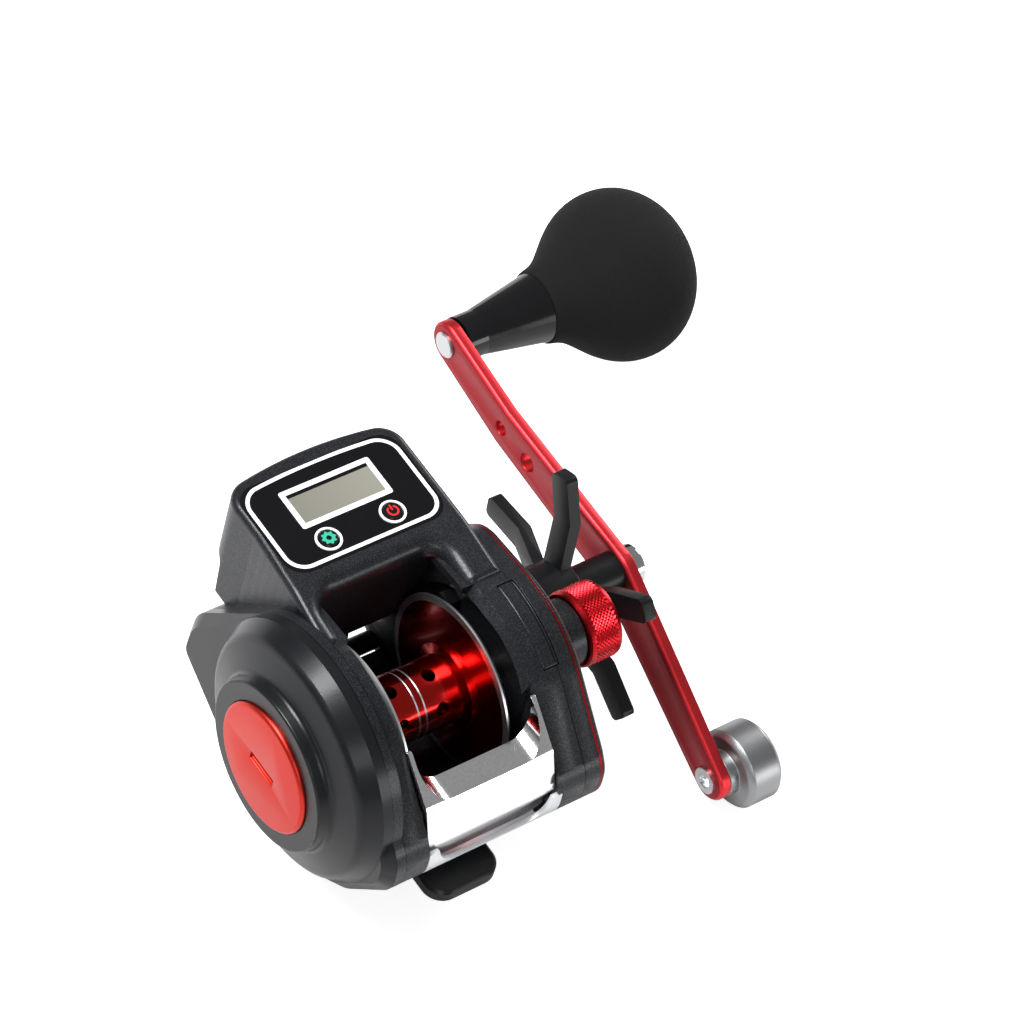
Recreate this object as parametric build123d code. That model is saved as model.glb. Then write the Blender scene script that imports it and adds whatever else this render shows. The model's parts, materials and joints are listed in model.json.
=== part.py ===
from build123d import *
import os
from math import acos, atan2, cos, degrees, hypot, pi, radians, sin, tan

os.makedirs("parts", exist_ok=True)

# Line counter reel, millimetres. X runs along the spool axis towards the crank,
# Y runs forward to the rod tip, Z is up. The origin is on the bottom of the reel
# foot, straight below the spool axis. While a piece is modelled, its heights are
# measured from the spool axis; save() lifts it by AXIS_HEIGHT.

# Driving dimensions
FOOT_THICK = 2.5
FOOT_WIDTH = 15.0
FOOT_REAR = 25.9
FOOT_FRONT = 34.0
CASE_TOP = 20.6
CASE_BOTTOM = 25.0
CASE_LIFT = 0.5
CASE_REAR = 27.7
CASE_FRONT = 37.0
CASE_WALL = 1.6
WINDOW_LEFT = 14.5
WINDOW_RIGHT = 11.3
LEFT_RING = 4.8
RIGHT_RING = 7.4
RIGHT_COVER = 6.2
SPOOL_RADIUS = 17.0
DRUM_RADIUS = 6.4
SHAFT_RADIUS = 1.5
DRIVE_FORWARD = 12.1
DRIVE_BELOW = 9.7
WORM_FORWARD = 27.0
WORM_BELOW = 11.0
ARM_GAP = 29.9
ARM_THICK = 2.5
KNOB_FORWARD = 68.6
KNOB_BELOW = 6.4
WEIGHT_BACK = 24.9
WEIGHT_BELOW = 28.8
THUMB_TRAVEL = 2.6
THUMB_LEAN_DEG = 16.7
YOKE_TRAVEL = 1.6

# Clearances and shared small sizes
RUN_FIT = 0.04
SLIP = 0.15
GAP = 0.3
OVERRUN = 1.0
EDGE = 0.5

# Stations along the spool axis
LEFT_SEAM = -(WINDOW_LEFT + LEFT_RING)
RIGHT_SEAM = WINDOW_RIGHT + RIGHT_RING
RIGHT_FACE = RIGHT_SEAM + RIGHT_COVER
ARM_FACE = RIGHT_FACE + ARM_GAP
AXIS_HEIGHT = CASE_BOTTOM + CASE_LIFT
SEAT_HEIGHT = AXIS_HEIGHT - FOOT_THICK
THUMB_DOWN = THUMB_TRAVEL * cos(radians(THUMB_LEAN_DEG))
THUMB_IN = THUMB_TRAVEL * sin(radians(THUMB_LEAN_DEG))

# The side outline: share of the case's reach forward or back, share of its
# height or depth, and share of its height for the corner radius.
SIDE_OUTLINE_SHARES = (
    (0.45, 0.88, 0.40),
    (-0.257, 0.995, 1.145),
    (-0.984, -0.01, 0.34),
    (-1.00, -0.30, 0.42),
    (-0.523, -1.00, 0.60),
    (0.50, -1.00, 0.70),
    (1.00, -0.58, 0.20),
    (0.97, -0.20, 0.45),
)


def save(name, shape):
    """Write one sub-part, lifted from the spool axis to its height over the foot."""
    export_step(Pos(0, 0, AXIS_HEIGHT) * shape, f"parts/{name}.step")


def rod(radius, start, end, y=0.0, z=0.0):
    """A cylinder along X from start to end, centred on (y, z)."""
    low = (Align.CENTER, Align.CENTER, Align.MIN)
    return Pos(start, y, z) * Rot(0, 90, 0) * Cylinder(radius, end - start, align=low)


def tube(outer, inner, start, end, y=0.0, z=0.0):
    """A tube along X with open ends."""
    return rod(outer, start, end, y, z) - rod(inner, start - OVERRUN, end + OVERRUN, y, z)


def block(x0, x1, y0, y1, z0, z1):
    """A box between two corners."""
    low = (Align.MIN, Align.MIN, Align.MIN)
    return Pos(x0, y0, z0) * Box(x1 - x0, y1 - y0, z1 - z0, align=low)


def slab(sketch, start, end):
    """A sketch in (y, z), extruded along X from start to end."""
    return extrude(Plane.YZ.offset(start) * sketch, amount=end - start)


def rounded(corners):
    """A closed face through corners given as (y, z, radius)."""
    face = make_face(Polyline(*[(y, z) for y, z, _ in corners], close=True))
    for y, z, radius in corners:
        if radius > 0:
            corner = face.vertices().sort_by_distance((y, z, 0))[0]
            face = fillet(corner, radius=radius)
    return face


def turned(points, y=0.0, z=0.0):
    """A solid of revolution about the X line through (y, z), from (x, radius) points."""
    profile = make_face(Polyline(*points, close=True))
    return Pos(0, y, z) * revolve(profile, axis=Axis.X)


def eased(shape, size, low, high):
    """Chamfer the circular edges whose centres lie between two X stations."""
    rims = [e for e in shape.edges().filter_by(GeomType.CIRCLE) if low <= e.arc_center.X <= high]
    return chamfer(rims, length=size)


def side_outline(inset=0.0):
    """The outline shared by the rings, the gear case and both covers."""
    corners = []
    for along, up, turn in SIDE_OUTLINE_SHARES:
        reach = CASE_FRONT if along > 0 else CASE_REAR
        height = CASE_TOP if up > 0 else CASE_BOTTOM
        corners.append((along * reach, up * height, turn * CASE_TOP))
    face = rounded(corners)
    if inset:
        face = offset(face, amount=-inset, kind=Kind.INTERSECTION)
    return face


# Gears
PRESSURE_DEG = 20.0
TIP_SHARE = 0.85
ROOT_SHARE = 1.2
BACKLASH_SHARE = 0.22
FLANK_STEPS = 3


def gear_face(teeth, module):
    """An involute spur gear outline with its first tooth on the +Y side."""
    pitch = module * teeth / 2
    base = pitch * cos(radians(PRESSURE_DEG))
    tip = pitch + TIP_SHARE * module
    root = pitch - ROOT_SHARE * module

    def roll(radius):
        if radius <= base:
            return 0.0
        angle = acos(base / radius)
        return tan(angle) - angle

    half_tooth = (pi / 2 - BACKLASH_SHARE) / teeth + roll(pitch)
    foot = max(root, base)
    flank = [foot + (tip - foot) * step / FLANK_STEPS for step in range(FLANK_STEPS + 1)]
    rising = [(r, -(half_tooth - roll(r))) for r in flank]
    if root < base:
        rising = [(root, rising[0][1])] + rising
    falling = [(r, -angle) for r, angle in reversed(rising)]
    points = []
    for tooth in range(teeth):
        turn = 2 * pi * tooth / teeth
        points += [(r * cos(turn + a), r * sin(turn + a)) for r, a in rising + falling]
    return make_face(Polyline(*points, close=True))


def gear(teeth, module, bore, start, end, y, z, first_tooth_deg):
    """A spur gear on the X line through (y, z), with its first tooth turned to an angle."""
    shape = slab(Rot(0, 0, first_tooth_deg) * gear_face(teeth, module), start, end)
    return Pos(0, y, z) * (shape - rod(bore, start - OVERRUN, end + OVERRUN))


PINION_TEETH = 14
DRIVE_TEETH = 74
WORM_TEETH = 20
CARRY_TEETH = 30
DRIVE_Y, DRIVE_Z = DRIVE_FORWARD, -DRIVE_BELOW
WORM_Y, WORM_Z = WORM_FORWARD, -WORM_BELOW
DRIVE_MODULE = 2 * hypot(DRIVE_Y, DRIVE_Z) / (PINION_TEETH + DRIVE_TEETH)
WORM_MODULE = 2 * hypot(WORM_Y - DRIVE_Y, WORM_Z - DRIVE_Z) / (WORM_TEETH + CARRY_TEETH)
TO_PINION = degrees(atan2(-DRIVE_Z, -DRIVE_Y))
TO_WORM = degrees(atan2(WORM_Z - DRIVE_Z, WORM_Y - DRIVE_Y))

# Frame
WEB = 1.4
FLANGE_ROOM = 0.8
BAR_ROOM = 1.3
BAR_LOW = 19.0
BAR_FRONT = 22.0
LEG_REAR = 6.0
LEG_FRONT = 31.0
LEG_THICK = 1.7
PINION_HOLE = 3.4
WORM_BUSH = 3.6
DRIVE_BUSH = 3.4
RAIL_FORWARD = 32.6
RAIL_BELOW = 13.5
RAIL_RADIUS = 1.2
PILLAR_RADIUS = 1.9
PILLAR_FORWARD = 24.5
PILLAR_BELOW = SEAT_HEIGHT - 2 * PILLAR_RADIUS
RECESS_DEPTH = 1.2
WEB_LEFT = WINDOW_RIGHT + RECESS_DEPTH
WEB_RIGHT = WEB_LEFT + WEB
FOOT_SCREW_RADIUS = 1.5
FOOT_SCREW_X = 4.4
FOOT_SCREW_Y = 7.0
FOOT_SCREW_DEPTH = 3.2
NOTCH_HIGH = 14.3
BAR_NOTCH = 1.6
RING_EASE = 1.6
CHIN_NOTCH = 2.65
COVER_SCREW_RADIUS = 1.1
COVER_SCREW_HEAD = 2.0
COVER_SCREW_HEAD_DEEP = 1.2
COVER_SCREW_DEPTH = 3.2
COVER_SCREW_BOSS = 2.5
LEFT_SCREW_PLACES_SHARE = ((-0.80, -0.16), (0.86, -0.30), (0.515, -0.672))
RIGHT_SCREW_PLACES_SHARE = ((-0.65, -0.44), (-0.07, 0.655), (0.67, 0.03))
SENSOR_TURN_DEG = 52.0
POST_BACK = 6.5
POST_APART = 7.0
POST_RADIUS = 1.1
SLIDER_REAR = 22.2
SLIDER_FRONT = 19.6
SLIDER_TOP = 0.5
SLIDER_LOW = -4.0
INSERT_START_DEG = 79.0
INSERT_END_DEG = 131.0
INSERT_DEPTH = 1.0
INSERT_ON_FRAME = 2.8
INSERT_ON_COVER = 0.7


def screw_places(shares):
    """Where a cover's screws stand, from shares of the case's reach and height."""
    places = []
    for along, up in shares:
        reach = CASE_FRONT if along > 0 else CASE_REAR
        height = CASE_TOP if up > 0 else CASE_BOTTOM
        places.append((along * reach, up * height))
    return places


def leg_band(thick, rear, front):
    """The strip along the upper front edge of the side outline."""
    strip = side_outline() - side_outline(thick)
    window = Pos((rear + front) / 2, CASE_TOP / 2) * Rectangle(front - rear, CASE_TOP)
    return strip & window


def wedge(start_deg, end_deg, radius):
    """A pie slice of the (y, z) plane round the spool axis."""
    middle = (start_deg + end_deg) / 2
    points = [(0, 0)]
    for turn in (start_deg, middle, end_deg):
        points.append((radius * cos(radians(turn)), radius * sin(radians(turn))))
    return make_face(Polyline(*points, close=True))


def make_main_frame():
    outline = side_outline()
    plate = outline - leg_band(LEG_THICK, LEG_REAR, LEG_FRONT)
    flange_bore = SPOOL_RADIUS + FLANGE_ROOM
    left = slab(plate, LEFT_SEAM, -WINDOW_LEFT)
    left -= rod(flange_bore, LEFT_SEAM - OVERRUN, -WINDOW_LEFT + OVERRUN)
    right = slab(plate, WINDOW_RIGHT, RIGHT_SEAM)
    inner_edges = right.edges().group_by(Axis.X)[0].sort_by(Axis.Z)
    upper = [e for e in inner_edges if e.center().Z > 0 and e.center().Y < LEG_REAR]
    right = chamfer(upper, length=RING_EASE)
    room = side_outline(CASE_WALL) - leg_band(LEG_THICK + CASE_WALL, LEG_REAR - CASE_WALL, LEG_FRONT + CASE_WALL)
    right -= slab(room, WEB_RIGHT, RIGHT_SEAM + OVERRUN)
    for y, z in screw_places(RIGHT_SCREW_PLACES_SHARE):
        right += rod(COVER_SCREW_BOSS - GAP, WEB_RIGHT - EDGE, RIGHT_SEAM, y, z)
        right -= rod(COVER_SCREW_RADIUS, RIGHT_SEAM - COVER_SCREW_DEPTH, RIGHT_SEAM + OVERRUN, y, z)
    right -= rod(flange_bore, WINDOW_RIGHT - OVERRUN, WEB_LEFT)
    right -= rod(WORM_TIP + GAP, WEB_RIGHT, RIGHT_SEAM + OVERRUN, WORM_Y, WORM_Z)
    bar = side_outline(CASE_BOTTOM - SEAT_HEIGHT) - Circle(SPOOL_RADIUS + BAR_ROOM)
    bar_top = BAR_LOW_Z - THUMB_DOWN - GAP
    rear_part = Pos(-CASE_REAR, bar_top - CASE_BOTTOM) * Rectangle(
        CASE_REAR, CASE_BOTTOM, align=(Align.MIN, Align.MIN)
    )
    front_part = Pos(-OVERRUN, -BAR_LOW - CASE_BOTTOM) * Rectangle(
        BAR_FRONT + OVERRUN, CASE_BOTTOM, align=(Align.MIN, Align.MIN)
    )
    bar = bar & (rear_part + front_part)
    frame = left + right + slab(bar, -WINDOW_LEFT - OVERRUN, WINDOW_RIGHT + OVERRUN)
    frame += rod(PILLAR_RADIUS, -WINDOW_LEFT - OVERRUN, WINDOW_RIGHT + OVERRUN, PILLAR_FORWARD, -PILLAR_BELOW)
    frame -= rod(PINION_HOLE, WEB_LEFT - OVERRUN, WEB_RIGHT + OVERRUN)
    frame -= rod(DRIVE_BUSH, WEB_LEFT - OVERRUN, WEB_RIGHT + OVERRUN, DRIVE_Y, DRIVE_Z)
    frame -= rod(WORM_BUSH, LEFT_SEAM - OVERRUN, WEB_RIGHT + OVERRUN, WORM_Y, WORM_Z)
    frame -= rod(RAIL_RADIUS, LEFT_SEAM - OVERRUN, WEB_RIGHT + OVERRUN, RAIL_FORWARD, -RAIL_BELOW)
    for side in (-1, 1):
        frame -= rod(POST_RADIUS, WEB_LEFT - OVERRUN, WEB_RIGHT + OVERRUN, -POST_BACK, side * POST_APART)
        for along in (-1, 1):
            hole = Cylinder(FOOT_SCREW_RADIUS, 2 * FOOT_SCREW_DEPTH)
            frame -= Pos(side * FOOT_SCREW_X, along * FOOT_SCREW_Y, -SEAT_HEIGHT) * hole
    frame -= block(
        WINDOW_RIGHT - OVERRUN,
        WEB_RIGHT + OVERRUN,
        -SLIDER_REAR - GAP,
        -SLIDER_FRONT + THUMB_IN + GAP,
        SLIDER_LOW - THUMB_DOWN - GAP,
        SLIDER_TOP + GAP,
    )
    for y, z in screw_places(LEFT_SCREW_PLACES_SHARE):
        frame -= rod(COVER_SCREW_RADIUS + SLIP, LEFT_SEAM - OVERRUN, -WINDOW_LEFT, y, z)
        frame -= rod(COVER_SCREW_HEAD + SLIP, -WINDOW_LEFT - COVER_SCREW_HEAD_DEEP, -WINDOW_LEFT + OVERRUN, y, z)
    notch_end = -NOTCH_HIGH + THUMB_IN + SLIP
    frame -= block(
        WINDOW_RIGHT - OVERRUN, WINDOW_RIGHT + BAR_NOTCH, -2 * CASE_REAR, notch_end, bar_top, CASE_TOP
    )
    rebate = side_outline(-OVERRUN) - side_outline(CHIN_THICK + RUN_FIT)
    rebate = rebate & Pos(-CASE_REAR - OVERRUN, CHIN_BELOW - SLIP) * Rectangle(
        CASE_REAR, CHIN_TOP - CHIN_BELOW + 2 * SLIP, align=(Align.MIN, Align.MIN)
    )
    frame -= slab(rebate, WINDOW_RIGHT - OVERRUN, WINDOW_RIGHT + CHIN_NOTCH)
    return frame - insert_pocket(0)


def insert_pocket(clearance):
    """The shallow pocket across the right ring's seam, and the plate that fills it."""
    turn = degrees(clearance / CASE_TOP)
    band = side_outline(-OVERRUN if clearance == 0 else 0) - side_outline(INSERT_DEPTH - clearance)
    arc = band & wedge(INSERT_START_DEG + turn, INSERT_END_DEG - turn, 2 * CASE_FRONT)
    return slab(arc, RIGHT_SEAM - INSERT_ON_FRAME + clearance, RIGHT_SEAM + INSERT_ON_COVER - clearance)


# Foot
FOOT_CORNER = 4.0
FOOT_EDGE = 0.6
FOOT_TAPER_SHARE = 0.72
FOOT_HEAD = 2.8
FOOT_HEAD_DEEP = 1.2


def make_reel_foot():
    half = FOOT_WIDTH / 2
    taper = half * FOOT_TAPER_SHARE
    mid = FOOT_FRONT * FOOT_TAPER_SHARE / 2
    points = [(-half, -FOOT_REAR), (half, -FOOT_REAR), (half, mid), (taper, FOOT_FRONT)]
    points += [(-taper, FOOT_FRONT), (-half, mid)]
    blade = make_face(Polyline(*points, close=True))
    ends = blade.vertices().group_by(Axis.Y)
    blade = fillet(ends[0] + ends[-1], radius=FOOT_CORNER)
    foot = extrude(Pos(0, 0, -AXIS_HEIGHT) * blade, amount=FOOT_THICK)
    foot = chamfer(foot.edges().group_by(Axis.Z)[-1], length=FOOT_EDGE)
    for x in (-FOOT_SCREW_X, FOOT_SCREW_X):
        for y in (-FOOT_SCREW_Y, FOOT_SCREW_Y):
            foot -= Pos(x, y, -SEAT_HEIGHT) * Cylinder(FOOT_SCREW_RADIUS, 4 * FOOT_THICK)
            foot -= Pos(x, y, -AXIS_HEIGHT) * Cylinder(FOOT_HEAD, 2 * FOOT_HEAD_DEEP)
    return foot


def make_foot_screws():
    screws = []
    low = (Align.CENTER, Align.CENTER, Align.MIN)
    for x in (-FOOT_SCREW_X, FOOT_SCREW_X):
        for y in (-FOOT_SCREW_Y, FOOT_SCREW_Y):
            head = Cylinder(FOOT_HEAD - SLIP, FOOT_HEAD_DEEP, align=low)
            shank = Cylinder(FOOT_SCREW_RADIUS, FOOT_THICK + FOOT_SCREW_DEPTH - SLIP, align=low)
            slot = Box(FOOT_HEAD, EDGE, 2 * EDGE)
            screws.append(Pos(x, y, -AXIS_HEIGHT) * (head + shank - slot))
    return Compound(screws)


# Left side: cover, brake and bearing
COVER_EDGE = 4.0
DOME_RADIUS = 24.5
DOME_DEPTH = 11.6
DOME_VALLEY = 2.4
DOME_BULGE_IN_SHARE = 1.7
DOME_BULGE_OUT_SHARE = 0.753
RING_RADIUS = 16.0
DISC_RADIUS = 12.3
DISC_THICK = 1.6
DISC_PROUD = 0.9
SIDE_WALL = 1.5
HUB_WALL = 1.2
BEARING_OUT = 4.0
BEARING_WIDE = 3.0
BEARING_RING = 0.8
BEARING_FACE = 15.6
DIAL_STUB = 2.6
DIAL_SLOT_LONG = 7.0
DIAL_SLOT_WIDE = 1.8
DIAL_SLOT_DEEP = 0.7
STUB_ROOM = 3.2
CARRIER_OUT = 12.8
CARRIER_THICK = 1.5
CARRIER_SLEEVE = 1.1
CARRIER_FINGERS = 3
FINGER_WIDE = 1.2
MAGNETS = 6
MAGNET_RADIUS = 2.2
MAGNET_THICK = 1.4
BRAKE_TRAVEL = 1.4

DOME_FACE = LEFT_SEAM - DOME_DEPTH
DISC_IN = DOME_FACE + DISC_THICK - DISC_PROUD
INNER_FACE = DOME_FACE + DISC_THICK - DISC_PROUD + SLIP + SIDE_WALL
HUB_RADIUS = BEARING_OUT + HUB_WALL
MAGNET_RING = (HUB_RADIUS + CARRIER_OUT) / 2
CARRIER_FACE = -(BEARING_FACE + EDGE)
CARRIER_BACK = CARRIER_FACE - MAGNET_THICK - CARRIER_THICK
FINGER_BACK = CARRIER_BACK - FINGER_WIDE - GAP


def dome(wall):
    """The domed side: a raised ring round the dial, a valley and a full outer slope."""
    rim = LEFT_SEAM - COVER_EDGE
    seam = LEFT_SEAM + (OVERRUN if wall else 0)
    bulge = RING_RADIUS + (DOME_RADIUS - RING_RADIUS) * DOME_BULGE_OUT_SHARE
    profile = rounded(
        [
            (seam, 0, 0),
            (seam, DOME_RADIUS - wall, 0),
            (rim, DOME_RADIUS - wall, 0),
            (DOME_FACE + DOME_VALLEY * DOME_BULGE_IN_SHARE + wall, bulge - wall, DOME_VALLEY),
            (DOME_FACE + DOME_VALLEY + wall, RING_RADIUS + EDGE - wall, DOME_VALLEY / 2),
            (DOME_FACE + wall, RING_RADIUS - wall, EDGE),
            (DOME_FACE + wall, 0, 0),
        ]
    )
    return revolve(profile, axis=Axis.X)


def make_left_cover():
    skirt = slab(side_outline(), LEFT_SEAM - COVER_EDGE, LEFT_SEAM)
    skirt = chamfer(skirt.faces().sort_by(Axis.X)[0].edges(), length=COVER_EDGE / 2)
    hollow_outline = side_outline(SIDE_WALL + COVER_EDGE / 2)
    hollow = slab(hollow_outline, LEFT_SEAM - COVER_EDGE + SIDE_WALL, LEFT_SEAM + OVERRUN)
    cover = skirt - hollow + dome(0)
    room = rod(2 * DOME_RADIUS, INNER_FACE, LEFT_SEAM - COVER_EDGE)
    room += slab(hollow_outline, LEFT_SEAM - COVER_EDGE, LEFT_SEAM + OVERRUN)
    cover -= dome(SIDE_WALL) & room
    hub = rod(HUB_RADIUS, INNER_FACE - EDGE, -BEARING_FACE)
    hub -= fingers(FINGER_BACK - BRAKE_TRAVEL - GAP, CARRIER_BACK, FINGER_WIDE + 2 * SLIP, OVERRUN)
    cover += hub
    cover -= rod(BEARING_OUT, -BEARING_FACE - BEARING_WIDE, OVERRUN)
    cover -= rod(STUB_ROOM, INNER_FACE, OVERRUN)
    cover -= rod(DISC_RADIUS + SLIP, DOME_FACE - OVERRUN, DISC_IN)
    cover -= rod(DIAL_STUB + RUN_FIT, DISC_IN - OVERRUN, INNER_FACE + OVERRUN)
    for y, z in screw_places(LEFT_SCREW_PLACES_SHARE):
        post = rod(COVER_SCREW_BOSS, LEFT_SEAM - COVER_EDGE + EDGE, LEFT_SEAM, y, z)
        cover += post & slab(side_outline(COVER_EDGE / 2), LEFT_SEAM - COVER_EDGE, LEFT_SEAM)
        cover -= rod(COVER_SCREW_RADIUS, LEFT_SEAM - COVER_SCREW_DEPTH + EDGE, LEFT_SEAM + OVERRUN, y, z)
    return cover


def fingers(start, end, wide, deep):
    """Bars that reach inward from the carrier's sleeve through the hub."""
    shape = None
    for turn in range(CARRIER_FINGERS):
        bar = block(start, end, DIAL_STUB + SLIP, HUB_RADIUS + deep, -wide / 2, wide / 2)
        bar = Rot(360 * turn / CARRIER_FINGERS, 0, 0) * bar
        shape = bar if shape is None else shape + bar
    return shape


def cover_screw(place, head_at, tip_at):
    """A slotted screw along X, its head's top at one station and its tip at another."""
    way = 1 if tip_at > head_at else -1
    y, z = place
    neck = head_at + way * COVER_SCREW_HEAD_DEEP
    head = rod(COVER_SCREW_HEAD, min(head_at, neck), max(head_at, neck), y, z)
    shank = rod(COVER_SCREW_RADIUS, min(neck, tip_at), max(neck, tip_at), y, z)
    half = COVER_SCREW_HEAD + OVERRUN
    slot = block(head_at - EDGE, head_at + EDGE, y - half, y + half, z - EDGE / 2, z + EDGE / 2)
    return head + shank - slot


def make_cover_screws():
    """Three screws from the window into the left cover, three through the right cover."""
    screws = []
    for place in screw_places(LEFT_SCREW_PLACES_SHARE):
        screws.append(cover_screw(place, -WINDOW_LEFT, LEFT_SEAM - COVER_SCREW_DEPTH + EDGE + SLIP))
    for place in screw_places(RIGHT_SCREW_PLACES_SHARE):
        screws.append(cover_screw(place, RIGHT_FACE, RIGHT_SEAM - COVER_SCREW_DEPTH + SLIP))
    return Compound(screws)


def make_brake_dial():
    """The red disc: a dial turned by its coin slot, with a stub through the cover."""
    disc = rod(DISC_RADIUS, DOME_FACE - DISC_PROUD, DISC_IN - SLIP)
    disc = chamfer(disc.edges().group_by(Axis.X)[0], length=EDGE)
    disc += rod(DIAL_STUB, DISC_IN - SLIP, -SHAFT_LEFT - GAP)
    return disc - block(
        DOME_FACE - DISC_PROUD - OVERRUN,
        DOME_FACE - DISC_PROUD + DIAL_SLOT_DEEP,
        -DIAL_SLOT_LONG / 2,
        DIAL_SLOT_LONG / 2,
        -DIAL_SLOT_WIDE / 2,
        DIAL_SLOT_WIDE / 2,
    )


def make_magnet_carrier():
    """The ring that carries the magnets, with a sleeve and fingers round the hub."""
    disc = tube(CARRIER_OUT, HUB_RADIUS + SLIP, CARRIER_BACK, CARRIER_FACE - MAGNET_THICK)
    disc += tube(HUB_RADIUS + CARRIER_SLEEVE, HUB_RADIUS + SLIP, FINGER_BACK, CARRIER_BACK + EDGE)
    return disc + fingers(FINGER_BACK, FINGER_BACK + FINGER_WIDE, FINGER_WIDE, CARRIER_SLEEVE / 2)


def make_brake_magnets():
    magnets = []
    for turn in range(MAGNETS):
        angle = 2 * pi * turn / MAGNETS
        y, z = MAGNET_RING * cos(angle), MAGNET_RING * sin(angle)
        magnets.append(rod(MAGNET_RADIUS, CARRIER_FACE - MAGNET_THICK, CARRIER_FACE, y, z))
    return Compound(magnets)


def bearing(outer, inner, start, end, y=0.0, z=0.0):
    """A shielded ball bearing: two races with a recessed shield between them."""
    race = (outer - inner) / 4
    body = tube(outer, inner, start, end, y, z)
    for face in (start, end):
        body -= tube(outer - race, inner + race, face - EDGE / 2, face + EDGE / 2, y, z)
    return body


# Spool
FLANGE_THICK = 1.0
FLANGE_GAP = 1.1
SPOOL_END = 8.9
RIM_BEVEL = 0.6
HUB_STEP = 8.2
HUB_STEP_WIDE = 2.2
DRUM_WALL = 1.0
DRUM_HOLE = 1.3
DRUM_HOLES = 6
DRUM_ROW = 4.1
LINE_GROOVE = 0.25
GROOVE_APART = 1.5
SHAFT_LEFT = 19.4
PIN_RADIUS = 0.6
PIN_LONG = 4.0
PINION_START = 15.0
SHAFT_END = 35.0

SPOOL_START = -(WINDOW_LEFT - FLANGE_GAP)
DRUM_MIDDLE = (SPOOL_START + SPOOL_END) / 2
PIN_X = PINION_START + PIN_RADIUS + SLIP


def make_spool():
    left, right = SPOOL_START, SPOOL_END
    points = [
        (left, SHAFT_RADIUS),
        (left, SPOOL_RADIUS - RIM_BEVEL),
        (left + RIM_BEVEL, SPOOL_RADIUS),
        (left + FLANGE_THICK, SPOOL_RADIUS),
        (left + FLANGE_THICK + EDGE, HUB_STEP),
        (left + HUB_STEP_WIDE, HUB_STEP),
        (left + HUB_STEP_WIDE + EDGE, DRUM_RADIUS),
        (right - HUB_STEP_WIDE - EDGE, DRUM_RADIUS),
        (right - HUB_STEP_WIDE, HUB_STEP),
        (right - FLANGE_THICK - EDGE, HUB_STEP),
        (right - FLANGE_THICK, SPOOL_RADIUS),
        (right - RIM_BEVEL, SPOOL_RADIUS),
        (right, SPOOL_RADIUS - RIM_BEVEL),
        (right, SHAFT_RADIUS),
    ]
    spool = turned(points)
    hollow = tube(DRUM_RADIUS - DRUM_WALL, HUB_STEP / 3, left + HUB_STEP_WIDE, right - HUB_STEP_WIDE)
    spool -= hollow
    for row in (-1, 1):
        spool -= tube(
            2 * DRUM_RADIUS,
            DRUM_RADIUS - LINE_GROOVE,
            DRUM_MIDDLE + row * GROOVE_APART / 2 - LINE_GROOVE / 2,
            DRUM_MIDDLE + row * GROOVE_APART / 2 + LINE_GROOVE / 2,
        )
        for hole in range(DRUM_HOLES):
            drill = Pos(DRUM_MIDDLE + row * DRUM_ROW, 0, DRUM_RADIUS) * Cylinder(DRUM_HOLE, 2 * DRUM_WALL + EDGE)
            spool -= Rot(360 * hole / DRUM_HOLES, 0, 0) * drill
    for place in counter_magnet_places():
        spool -= rod(COUNTER_MAGNET, right - COUNTER_MAGNET_DEEP, right + OVERRUN, *place)
    return spool


COUNTER_MAGNET = 0.8
COUNTER_MAGNET_DEEP = 0.5
COUNTER_MARGIN = 2.4
COUNTER_RING = SPOOL_RADIUS - COUNTER_MARGIN


def counter_magnet_places():
    turn = radians(SENSOR_TURN_DEG)
    first = (COUNTER_RING * cos(turn), COUNTER_RING * sin(turn))
    return [first, (-first[0], -first[1])]


def make_counter_magnets():
    """Two magnets in the right flange, which the counter's sensor reads."""
    start, end = SPOOL_END - COUNTER_MAGNET_DEEP, SPOOL_END
    return Compound([rod(COUNTER_MAGNET, start, end, y, z) for y, z in counter_magnet_places()])


SENSOR_SIZE = 3.0
SENSOR_GAP = 0.8


def make_spool_sensor():
    """The sensor that counts turns, on the frame's web beside the flange."""
    y, z = counter_magnet_places()[0]
    half = SENSOR_SIZE / 2
    return block(SPOOL_END + SENSOR_GAP, WEB_LEFT, y - half, y + half, z - half, z + half)


def make_spool_shaft():
    shaft = rod(SHAFT_RADIUS, -SHAFT_LEFT, SHAFT_END)
    shaft = eased(shaft, EDGE, -SHAFT_LEFT, -SHAFT_LEFT)
    return shaft + Pos(PIN_X, 0, 0) * Cylinder(PIN_RADIUS, PIN_LONG)


# Pinion, yoke and clutch
PINION_BORE = SHAFT_RADIUS + RUN_FIT
PINION_TEETH_LONG = 4.2
GROOVE_WIDE = 1.0
PINION_NECK = 2.0
YOKE_THICK = 0.8
YOKE_REACH = 9.6

PINION_TIP = (PINION_TEETH / 2 + TIP_SHARE) * DRIVE_MODULE
TEETH_END = PINION_START + PINION_TEETH_LONG
GROOVE_END = TEETH_END + GROOVE_WIDE


def make_pinion():
    """The pinion: a slotted cup for the drive pin, the teeth, the yoke groove and a neck."""
    facing = degrees(atan2(DRIVE_Z, DRIVE_Y))
    half_pitch = 180 / PINION_TEETH
    body = gear(PINION_TEETH, DRIVE_MODULE, PINION_BORE, PINION_START, TEETH_END, 0, 0, facing + half_pitch)
    body += tube(PINION_NECK, PINION_BORE, TEETH_END - EDGE, COVER_INNER + EDGE)
    body += tube(PINION_TIP, PINION_BORE, GROOVE_END, GROOVE_END + EDGE)
    half = PIN_RADIUS + SLIP
    slot = block(PINION_START - OVERRUN, PIN_X + half, -half, half, -PIN_LONG, PIN_LONG)
    return body - slot


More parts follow.
